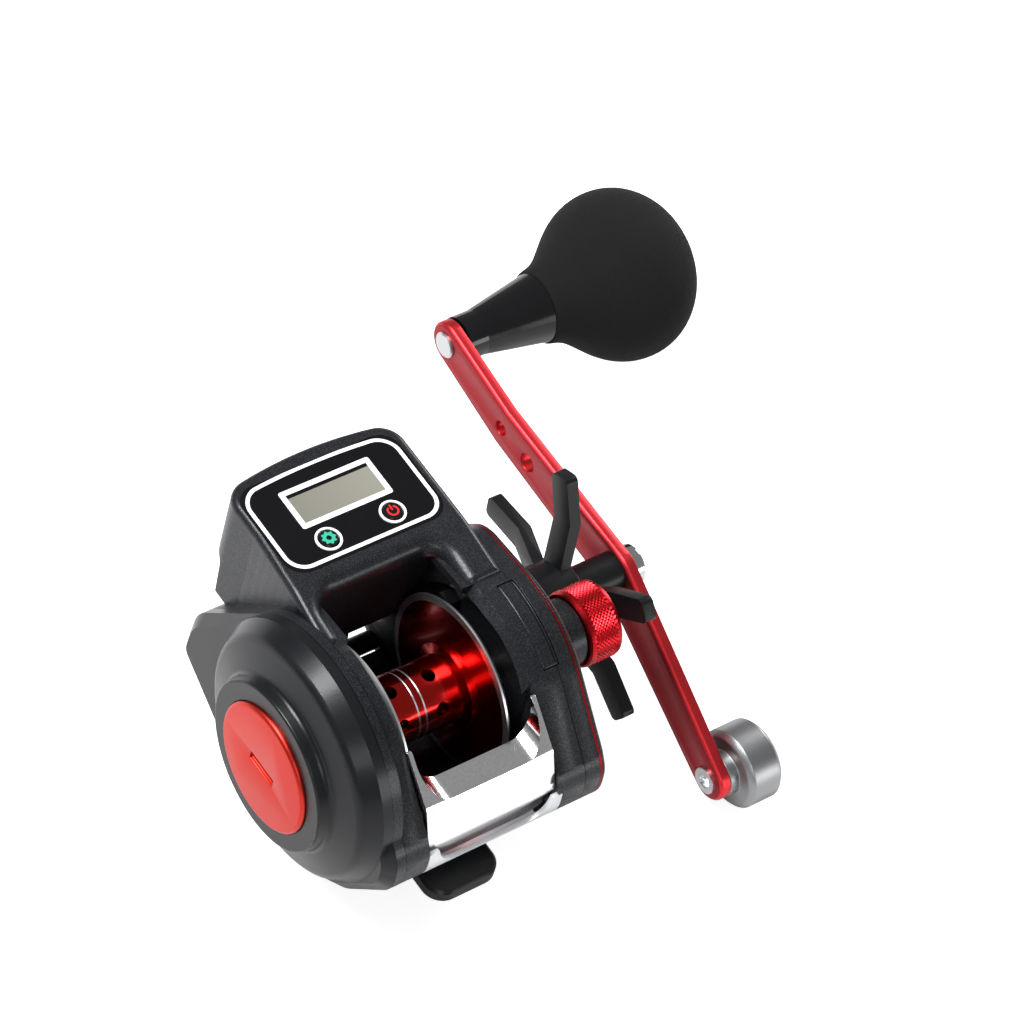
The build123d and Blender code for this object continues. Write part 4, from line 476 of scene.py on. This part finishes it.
def spool_finish(red, silver):
    """Deep anodised red, with bare metal at the flanges' rims and at two scribed lines."""
    made = Finish("spool_anodising", Metallic=1.0, Coat_Weight=0.25, Coat_Roughness=0.06)
    x, y, z = made.axes()
    radius = (y * y + z * z) ** 0.5
    rim = radius.above(FLANGE_RIM, 0.08)
    drum = radius.below(DRUM_RADIUS, 0.2)
    lines = drum * abs(abs(x - SCRIBED_MIDDLE) - SCRIBED_APART).below(SCRIBED_HALF, 0.06)
    bare = rim.most(lines)
    turning = made.noise(0.35 * MM, 2, 0.5, (14, 1, 1))
    made.vary(
        Base_Color=made.mix(bare, made.mix(turning, toned(red, 0.8), red), silver),
        Roughness=0.16 + 0.1 * turning + 0.14 * bare,
    )
    made.bump(turning, 0.002 * MM)
    return made


def box_distance(x, y, middle, half, corner):
    """Distance outside a box with round corners, below zero inside it."""
    past_x = abs(x - middle[0]) - (half[0] - corner)
    past_y = abs(y - middle[1]) - (half[1] - corner)
    across = past_x.most(0)
    along = past_y.most(0)
    inside = past_x.most(past_y).least(0)
    return (across * across + along * along) ** 0.5 + inside - corner


def faceplate_finish(reel):
    """Gloss black panel with a printed white border, and the framed display window, whose glass has painted
    shade, darker towards its left.
    """
    made = Finish("faceplate_gloss", IOR=1.5, Specular_IOR_Level=0.15)
    x = made.axis("X")
    y = made.axis("Y")
    bowed = y + ((x - BOW_MIDDLE) / BOW_HALF) ** 2.0 * y.above(BOW_FROM, BOW_SOFT)
    border = abs(box_distance(x, bowed, **PRINT_BORDER)).below(BORDER_LINE_HALF, PRINT_SOFT)
    window = abs(box_distance(x, y, **WINDOW_FRAME) + WINDOW_LINE_HALF).below(WINDOW_LINE_HALF, PRINT_SOFT)
    white = border.most(window)
    glass = box_distance(x, y, **DISPLAY_GLASS).below(0, PRINT_SOFT)
    tint = made.noise(9 * MM, 2)
    panel = made.mix(tint, reel.gloss, toned(reel.gloss, 1.6))
    # Painted shade: the display glass is darker towards its left and lighter towards its right
    display = made.mix(x.above(0, 18), toned(reel.lcd, 0.86), toned(reel.lcd, 1.15))
    made.vary(
        Base_Color=made.mix(white, made.mix(glass, panel, display), reel.print_white),
        Roughness=0.08 + 0.05 * tint + 0.25 * white + 0.1 * glass,
    )
    return made


def power_symbol(right, up, radius):
    """A broken ring with a bar in its gap."""
    angle = right.work("ARCTAN2", up)
    ring = abs(radius - POWER_RADIUS).below(POWER_RING_HALF, SYMBOL_SOFT)
    gap = abs(angle).above(POWER_GAP, 0.1)
    bar_wide = abs(right).below(POWER_BAR_HALF, SYMBOL_SOFT)
    bar_long = abs(up - POWER_BAR_MIDDLE).below(POWER_BAR_LONG, SYMBOL_SOFT)
    return (ring * gap).most(bar_wide * bar_long)


def gear_symbol(right, up, radius):
    """A toothed wheel with a hole."""
    angle = right.work("ARCTAN2", up)
    teeth = (angle * GEAR_TEETH).work("COSINE")
    outer = (radius - GEAR_TOOTH * teeth).below(GEAR_RADIUS, 0.08)
    return outer * radius.above(GEAR_HOLE, SYMBOL_SOFT)


def button_finish(name, colour, gloss, middle, symbol):
    """A glossy black button with a symbol printed on its top."""
    made = Finish(name, IOR=1.5, Specular_IOR_Level=0.2)
    x, y, z = made.axes()
    right = x - middle[0]
    up = y - middle[1]
    mark = symbol(right, up, (right * right + up * up) ** 0.5)
    top = z.above(BUTTON_TOP, 0.1)
    wear = made.noise(1.5 * MM)
    made.vary(
        Base_Color=made.mix(mark * top, made.mix(wear, gloss, toned(gloss, 2)), colour),
        Roughness=0.18 + 0.08 * wear + 0.15 * mark,
    )
    return made


MAKERS = {
    "case": lambda reel: flecked(
        "case_lacquer", reel.case, reel.fleck, share=0.5, rough=0.31, coat=0.12,
        seams=(LEFT_SEAM, RIGHT_SEAM),
    ),
    "cover": lambda reel: flecked(
        "cover_lacquer", reel.cover, reel.fleck, share=0.5, rough=0.27, coat=0.15,
        seams=(COVER_SEAM, LEFT_SEAM), satin_below=COVER_SEAM,
    ),
    "pearl": lambda reel: flecked(
        "pearl_lacquer", reel.pearl, (0.9, 0.9, 0.92), share=0.4, rough=0.3, coat=0.4
    ),
    "satin": lambda reel: plain_lacquer("satin_black", reel.satin, 0.34, Specular_IOR_Level=0.25),
    "gloss": lambda reel: plain_lacquer(
        "gloss_black", reel.gloss, 0.14, grain=0.8, depth=0.002, Specular_IOR_Level=0.35
    ),
    "ring": lambda reel: plain_lacquer("button_ring", reel.print_white, 0.3, depth=0.002),
    "eye": lambda reel: plain_lacquer(
        "guide_ceramic", (0.75, 0.75, 0.72), 0.2, grain=0.8, depth=0.002
    ),
    "board": lambda reel: plain_lacquer("board_lacquer", reel.board, 0.35),
    "friction": lambda reel: plain_lacquer(
        "friction_fibre", toned(reel.satin, 2.2), 0.8, grain=0.3, depth=0.03
    ),
    "steel": lambda reel: metal("turned_steel", reel.steel, 0.3, stretch=(12, 1, 1)),
    "brushed": lambda reel: metal(
        "brushed_steel", toned(reel.steel, 0.5), 0.38, stretch=(14, 1, 1), depth=0.01
    ),
    "polished": lambda reel: metal("polished_steel", reel.steel, 0.12, depth=0.001),
    "dark_steel": lambda reel: metal("dark_steel", toned(reel.steel, 0.35), 0.35),
    "chrome": lambda reel: metal("chrome_plating", (0.84, 0.84, 0.85), 0.14, depth=0.0),
    "magnet": lambda reel: metal("nickel_magnet", toned(reel.steel, 0.7), 0.22),
    "brass": lambda reel: metal("brass", reel.brass, 0.28, stretch=(10, 1, 1)),
    "accent": lambda reel: metal("red_trim", reel.accent, 0.4),
    "arm": lambda reel: metal("arm_face", reel.arm, 0.46, depth=0.004, grain=0.25),
    "arm_edge": lambda reel: metal("arm_edge", reel.arm_edge, 0.4, stretch=(1, 1, 8)),
    "cap": lambda reel: metal("cap_anodising", reel.cap, 0.3),
    "disc": lambda reel: metal("dial_anodising", reel.disc, 0.36, depth=0.004, grain=0.3),
    "foam": lambda reel: foam_finish(reel.foam),
    "spool": lambda reel: spool_finish(reel.spool, reel.steel),
    "faceplate": faceplate_finish,
    "gear_button": lambda reel: button_finish(
        "gear_button", reel.gear_mark, reel.gloss, MODE_BUTTON, gear_symbol
    ),
    "power_button": lambda reel: button_finish(
        "power_button", reel.power_mark, reel.gloss, POWER_BUTTON, power_symbol
    ),
}
FINISHES = {}


def finish(name):
    """One of the reel's finishes, made when it is first asked for."""
    if name not in FINISHES:
        FINISHES[name] = MAKERS[name](colours())
    return FINISHES[name]


# Modelling helpers


def only(piece):
    """Selects one object and nothing else, and makes it active."""
    bpy.ops.object.select_all(action="DESELECT")
    piece.select_set(True)
    bpy.context.view_layer.objects.active = piece


def edit():
    """Goes into edit mode with nothing selected."""
    bpy.ops.object.mode_set(mode="EDIT")
    bpy.ops.mesh.select_mode(type="VERT")
    bpy.ops.mesh.select_all(action="DESELECT")


def edit_all():
    """Goes into edit mode with everything selected."""
    edit()
    bpy.ops.mesh.select_all(action="SELECT")


def leave():
    """Comes back to object mode."""
    bpy.ops.object.mode_set(mode="OBJECT")


def apply_place():
    """Puts the selected object's place, turn and scale in its mesh."""
    bpy.ops.object.transform_apply(location=True, rotation=True, scale=True)


def pick_vertices(piece, test):
    """Selects only the vertices of a piece whose place passes a test, in edit mode."""
    edit()
    leave()
    for vertex in piece.data.vertices:
        vertex.select = bool(test(vertex.co))
    bpy.ops.object.mode_set(mode="EDIT")


def pick_faces(piece, test):
    """Selects only the faces of a piece whose middle and normal pass a test, in edit mode."""
    edit()
    leave()
    for face in piece.data.polygons:
        face.select = bool(test(face.center, face.normal))
    bpy.ops.object.mode_set(mode="EDIT")


def settle(piece, name, body, finishes, replaces, smooth):
    """Names a piece, puts its place in its mesh, finishes it and hangs it on its body."""
    only(piece)
    apply_place()
    piece.name = piece.data.name = name
    bpy.ops.object.shade_smooth_by_angle(angle=radians(smooth))
    piece.data.materials.clear()
    for made in finishes:
        piece.data.materials.append(finish(made).material)
    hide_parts(*replaces)
    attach(piece, body)


def merged_copy(node):
    """A copy of a CAD node with its loose triangles merged and its flat faces joined."""
    only(frame["nodes"][node])
    bpy.ops.object.duplicate()
    piece = bpy.context.object
    only(piece)
    bpy.ops.object.parent_clear(type="CLEAR_KEEP_TRANSFORM")
    edit_all()
    bpy.ops.mesh.remove_doubles(threshold=MERGE_DISTANCE * MM)
    bpy.ops.mesh.dissolve_limited(angle_limit=radians(FLAT_ANGLE))
    leave()
    return piece


def modify(piece, kind, **settings):
    """Adds a modifier, sets it and applies it."""
    only(piece)
    added = piece.modifiers.new(kind.title(), kind)
    for name, value in settings.items():
        setattr(added, name, value)
    bpy.ops.object.modifier_apply(modifier=added.name)


def rounded(node, name, body, width, finishes, segments=3):
    """A CAD node's shape with its sharp edges rounded as the real piece's are."""
    piece = merged_copy(node)
    modify(
        piece, "BEVEL", width=width, segments=segments, limit_method="ANGLE", affect="EDGES",
        angle_limit=radians(SHARP_ANGLE), use_clamp_overlap=True, miter_outer="MITER_ARC",
    )
    modify(piece, "WEIGHTED_NORMAL", keep_sharp=True, weight=100)
    settle(piece, name, body, finishes, (node,), ROUNDED_SMOOTH)
    return piece


def turned(profile, centre, sides):
    """A turned piece about an X axis: rings at the profile's stations, each drawn from the last.

    The profile is a list of x and radius in metres, from one end to the other; both ends are closed.
    """
    x, radius = profile[0]
    bpy.ops.object.select_all(action="DESELECT")
    bpy.ops.mesh.primitive_circle_add(
        vertices=sides, radius=radius, fill_type="NGON", location=(x, *centre), rotation=(0, pi / 2, 0)
    )
    piece = bpy.context.object
    only(piece)
    apply_place()
    edit_all()
    for next_x, next_radius in profile[1:]:
        bpy.ops.mesh.extrude_region_move(TRANSFORM_OT_translate={"value": (next_x - x, 0, 0)})
        grow = next_radius / radius
        bpy.ops.transform.resize(value=(1, grow, grow), center_override=(next_x, *centre))
        x, radius = next_x, next_radius
    bpy.ops.mesh.select_all(action="SELECT")
    bpy.ops.mesh.normals_make_consistent(inside=False)
    leave()
    return piece


def turning_axis(low, high):
    """The y and z of the X axis through the middle of a box."""
    return (low.y + high.y) / 2, (low.z + high.z) / 2


def finish_node(node, name):
    """Gives a CAD node its finish."""
    for slot in frame["nodes"][node].material_slots:
        slot.material = finish(name).material


def report_done(operator, text):
    """Says in Blender's report what an operator has made."""
    operator.report({"INFO"}, text)
    return {"FINISHED"}


# Stage


def place_camera():
    """Adds the camera from which the reel is seen."""
    bpy.ops.object.camera_add()
    camera = bpy.context.object
    turn = Matrix((CAMERA_RIGHT, CAMERA_UP, CAMERA_BACK)).transposed()
    camera.matrix_world = Matrix.Translation(CAMERA_PLACE) @ turn.to_4x4()
    camera.data.sensor_width = CAMERA_SENSOR
    camera.data.lens = CAMERA_LENS
    bpy.context.scene.camera = camera


def lay_floor():
    """Adds the pale floor, which glows for the camera alone."""
    low = CAD_BOX[0][2] - sizes().floor_gap
    bpy.ops.mesh.primitive_plane_add(size=FLOOR_SIDE, location=(0, 0, low))
    floor = bpy.context.object
    floor.name = "floor"
    apply_place()
    made = Finish("pale_floor", Roughness=0.9)
    made.vary(Base_Color=made.mix(made.noise(0.5), (0.68, 0.68, 0.69), (0.72, 0.72, 0.72)))
    seen = made.node("LightPath", {}, {}, "Is Camera Ray")
    none = made.node("Emission", {}, {"Color": (0, 0, 0), "Strength": 0.0})
    glow = made.node("Emission", {}, {"Color": (1, 1, 1), "Strength": FLOOR_GLOW})
    glow_seen = made.node("MixShader", {}, {0: seen, 1: none, 2: glow})
    both = made.node("AddShader", {}, {0: made.shader.outputs[0], 1: glow_seen})
    made.tree.links.new(both.socket, made.tree.nodes["Material Output"].inputs["Surface"])
    floor.data.materials.append(made.material)


def light_world():
    """Sets the white surroundings, with a level of their own for each kind of ray."""
    world = bpy.data.worlds.new("studio")
    bpy.context.scene.world = world
    world.use_nodes = True
    tree = world.node_tree
    background = tree.nodes["Background"]
    background.inputs["Color"].default_value = (1, 1, 1, 1)
    path = tree.nodes.new("ShaderNodeLightPath")
    level = tree.nodes.new("ShaderNodeValue").outputs[0]
    level.default_value = WORLD_LEVEL
    for ray, strength in WORLD_RAYS:
        step = tree.nodes.new("ShaderNodeMapRange")
        step.inputs["To Max"].default_value = strength
        tree.links.new(path.outputs[ray], step.inputs["Value"])
        tree.links.new(level, step.inputs["To Min"])
        level = step.outputs[0]
    tree.links.new(level, background.inputs["Strength"])


def hang_lamps():
    """Adds the soft square lamps round the reel."""
    for name, direction, distance, side, watts in LAMPS:
        spot = direction.normalized() * distance + LAMP_AIM
        bpy.ops.object.light_add(type="AREA", location=spot)
        lamp = bpy.context.object
        lamp.name = name
        lamp.rotation_euler = (-direction).to_track_quat("-Z", "Y").to_euler()
        lamp.data.size = side
        lamp.data.energy = watts


class REEL_OT_stage(bpy.types.Operator):
    """Set the camera, the pale floor, the white surroundings and the soft studio lamps"""

    bl_idname = "reel.stage"
    bl_label = "Camera, Floor and Lamps"

    def execute(self, context):
        place_camera()
        lay_floor()
        light_world()
        hang_lamps()
        context.scene.view_settings.view_transform = "Standard"
        return report_done(self, "Stage set")


# The CAD nodes that are shown as they are, by their finish

PLAIN_NODES = {
    "steel": (
        "foot_screws", "spool_shaft", "ball_bearings", "yoke_posts", "yoke_springs", "drive_shaft",
        "one_way_bearing", "spring_washers", "knob_shaft", "worm_shaft", "worm_guard", "guide_rail",
        "coin_cell", "weight_screw",
    ),
    "dark_steel": ("cover_screws", "clutch_slider", "pressure_plate"),
    "brass": ("pinion", "drive_gear", "frame_bushes", "line_pawl"),
    "magnet": ("brake_magnets", "counter_magnets"),
    "friction": ("drag_washers",),
    "board": ("circuit_board",),
    "eye": ("guide_eye",),
    "satin": (
        "magnet_carrier", "clutch_yoke", "crank_spacer", "worm_gear", "carry_gear", "display_base",
        "battery_door", "button_switches", "line_guide", "lcd_panel",
    ),
    "gloss": ("spool_sensor",),
    "accent": ("accent_ring", "knob_cap"),
    "ring": ("button_rings",),
}


# The reel's pieces


class REEL_OT_inner_works(bpy.types.Operator):
    """Finish the works inside the reel, and the small outer pieces that are shown as they are"""

    bl_idname = "reel.inner_works"
    bl_label = "Inner Works and Small Pieces"

    def execute(self, context):
        for name, nodes in PLAIN_NODES.items():
            for node in nodes:
                finish_node(node, name)
        return report_done(self, "Inner works and small pieces finished")


class REEL_OT_frame_and_covers(bpy.types.Operator):
    """Build the frame, foot, right cover and panels with rounded edges, and finish the left cover"""

    bl_idname = "reel.frame_and_covers"
    bl_label = "Frame, Foot and Covers"

    def execute(self, context):
        edge = sizes().edge
        fine = sizes().fine_edge
        rounded("main_frame", "frame_shell", "frame", fine, ["case"], 2)
        rounded("right_cover", "right_shell", "frame", edge, ["case"])
        finish_node("left_cover", "cover")
        rounded("reel_foot", "foot_plate", "frame", edge, ["satin"])
        rounded("side_insert", "side_panel", "frame", edge, ["case"])
        rounded("chin_plate", "chin_panel", "frame", fine, ["pearl"])
        return report_done(self, "Frame and covers built")


class REEL_OT_brake_dial(bpy.types.Operator):
    """Build the red brake dial with its coin slot"""

    bl_idname = "reel.brake_dial"
    bl_label = "Brake Dial"

    def execute(self, context):
        rounded("brake_dial", "dial_disc", "brake", sizes().fine_edge, ["disc"])
        return report_done(self, "Brake dial built")


class REEL_OT_spool(bpy.types.Operator):
    """Finish the anodised spool"""

    bl_idname = "reel.spool"
    bl_label = "Spool"

    def execute(self, context):
        finish_node("spool", "spool")
        return report_done(self, "Spool finished")


class REEL_OT_thumb_bar(bpy.types.Operator):
    """Build the chrome thumb bar"""

    bl_idname = "reel.thumb_bar"
    bl_label = "Thumb Bar"

    def execute(self, context):
        rounded("thumb_bar", "thumb_shell", "thumb", sizes().fine_edge, ["chrome"])
        return report_done(self, "Thumb bar built")


class REEL_OT_counter(bpy.types.Operator):
    """Finish the counter's housing, its faceplate and its two buttons"""

    bl_idname = "reel.counter"
    bl_label = "Line Counter"

    def execute(self, context):
        finish_node("display_housing", "case")
        finish_node("display_lens", "faceplate")
        finish_node("mode_button", "gear_button")
        finish_node("power_button", "power_button")
        return report_done(self, "Counter finished")


class REEL_OT_cast_cap(bpy.types.Operator):
    """Build the knurled cast control cap"""

    bl_idname = "reel.cast_cap"
    bl_label = "Cast Control Cap"

    def execute(self, context):
        low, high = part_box("cast_control_cap")
        centre = turning_axis(low, high)
        outer = (high.z - low.z) / 2
        start = low.x + KNURL_FROM_INNER * MM
        end = high.x - KNURL_FROM_OUTER * MM
        rows = sizes().knurl_rows
        sides = sizes().knurl_around
        step = (end - start) / rows
        profile = [(low.x + inset * MM, outer - drop * MM) for inset, drop in CAP_INNER_END]
        profile += [(start + row * step, outer) for row in range(rows + 1)]
        profile += [(high.x - inset * MM, outer - drop * MM) for inset, drop in CAP_OUTER_END]
        cap = turned(profile, centre, sides)

        def low_point(place):
            """Whether a vertex of the knurl lies low, as every second one does along and round the cap."""
            row = round((place.x - start) / step)
            reach = hypot(place.y - centre[0], place.z - centre[1])
            if reach < outer - KNURL_REACH * MM or not 1 <= row <= rows - 1:
                return False
            turn = atan2(place.z - centre[1], place.y - centre[0]) / (2 * pi) * sides
            # A turn is a whole or a half number; a quarter more keeps it from where rounding flips
            return (round(turn + 0.25) + row) % 2 == 1

        def on_knurl(place, normal):
            """Whether a face lies between the knurl's ends and faces outwards."""
            return start < place.x < end and abs(normal.x) < 0.5

        pick_vertices(cap, low_point)
        shrink = 1 - sizes().knurl_deep / outer
        bpy.ops.transform.resize(value=(1, shrink, shrink), center_override=(start, *centre))
        pick_faces(cap, on_knurl)
        bpy.ops.mesh.quads_convert_to_tris(quad_method="SHORTEST_DIAGONAL")
        leave()
        settle(cap, "cast_cap_shell", "cast_cap", ["cap"], ("cast_control_cap",), KNURL_SMOOTH)
        return report_done(self, "Cast control cap built")


class REEL_OT_star_drag(bpy.types.Operator):
    """Build the star drag with its soft edged arms"""

    bl_idname = "reel.star_drag"
    bl_label = "Star Drag"

    def execute(self, context):
        rounded("star_drag", "star_wheel", "star", sizes().star_edge, ["satin"])
        return report_done(self, "Star drag built")


class REEL_OT_handle(bpy.types.Operator):
    """Build the handle arm, its nut and the counterweight"""

    bl_idname = "reel.handle"
    bl_label = "Handle"

    def execute(self, context):
        fine = sizes().fine_edge
        blade = rounded("handle_arm", "arm_blade", "crank", fine, ["arm", "arm_edge"], 2)
        for face in blade.data.polygons:
            face.material_index = 0 if abs(face.normal.x) > ARM_FACE_NORMAL else 1
        rounded("handle_nut", "arm_nut", "crank", fine, ["polished"], 2)
        rounded("counterweight", "balance_weight", "crank", fine, ["brushed"], 2)
        return report_done(self, "Handle built")


class REEL_OT_knob(bpy.types.Operator):
    """Build the knob's foam grip, and finish its glossy neck"""

    bl_idname = "reel.knob"
    bl_label = "Knob"

    def execute(self, context):
        grow = sizes().grip_radius / GRIP_RADIUS
        profile = [(x * MM, radius * grow) for x, radius in GRIP_STATIONS]
        grip = turned(profile, turning_axis(*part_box("knob_grip")), sizes().around)
        modify(grip, "SUBSURF", levels=1, render_levels=1)
        settle(grip, "foam_grip", "knob", ["foam"], ("knob_grip",), GRIP_SMOOTH)
        finish_node("knob_neck", "gloss")
        return report_done(self, "Knob built")


class REEL_PT_panel(bpy.types.Panel):
    """The reel's pieces, in the order in which they are built"""

    bl_idname = "REEL_PT_panel"
    bl_label = "Line Counter Reel"
    bl_space_type = "VIEW_3D"
    bl_region_type = "UI"
    bl_category = "Reel"

    def draw(self, context):
        column = self.layout.column(align=True)
        for operator in OPERATORS:
            column.operator(operator.bl_idname)
        for group in (context.scene.reel_sizes, context.scene.reel_colours):
            column.separator()
            for name in group.__annotations__:
                column.prop(group, name)


OPERATORS = (
    REEL_OT_stage, REEL_OT_inner_works, REEL_OT_frame_and_covers, REEL_OT_brake_dial, REEL_OT_spool,
    REEL_OT_thumb_bar, REEL_OT_counter, REEL_OT_cast_cap, REEL_OT_star_drag, REEL_OT_handle, REEL_OT_knob,
)
CLASSES = (ReelColours, ReelSizes) + OPERATORS + (REEL_PT_panel,)


def register():
    """Registers the reel's classes and its properties."""
    for made in CLASSES:
        bpy.utils.register_class(made)
    bpy.types.Scene.reel_colours = PointerProperty(type=ReelColours)
    bpy.types.Scene.reel_sizes = PointerProperty(type=ReelSizes)


def unregister():
    """Takes the reel's classes and its properties out again."""
    del bpy.types.Scene.reel_sizes
    del bpy.types.Scene.reel_colours
    for made in reversed(CLASSES):
        bpy.utils.unregister_class(made)


def main():
    """Builds the whole reel."""
    register()
    bpy.ops.reel.stage()
    bpy.ops.reel.inner_works()
    bpy.ops.reel.frame_and_covers()
    bpy.ops.reel.brake_dial()
    bpy.ops.reel.spool()
    bpy.ops.reel.thumb_bar()
    bpy.ops.reel.counter()
    bpy.ops.reel.cast_cap()
    bpy.ops.reel.star_drag()
    bpy.ops.reel.handle()
    bpy.ops.reel.knob()


if __name__ == "__main__":
    main()
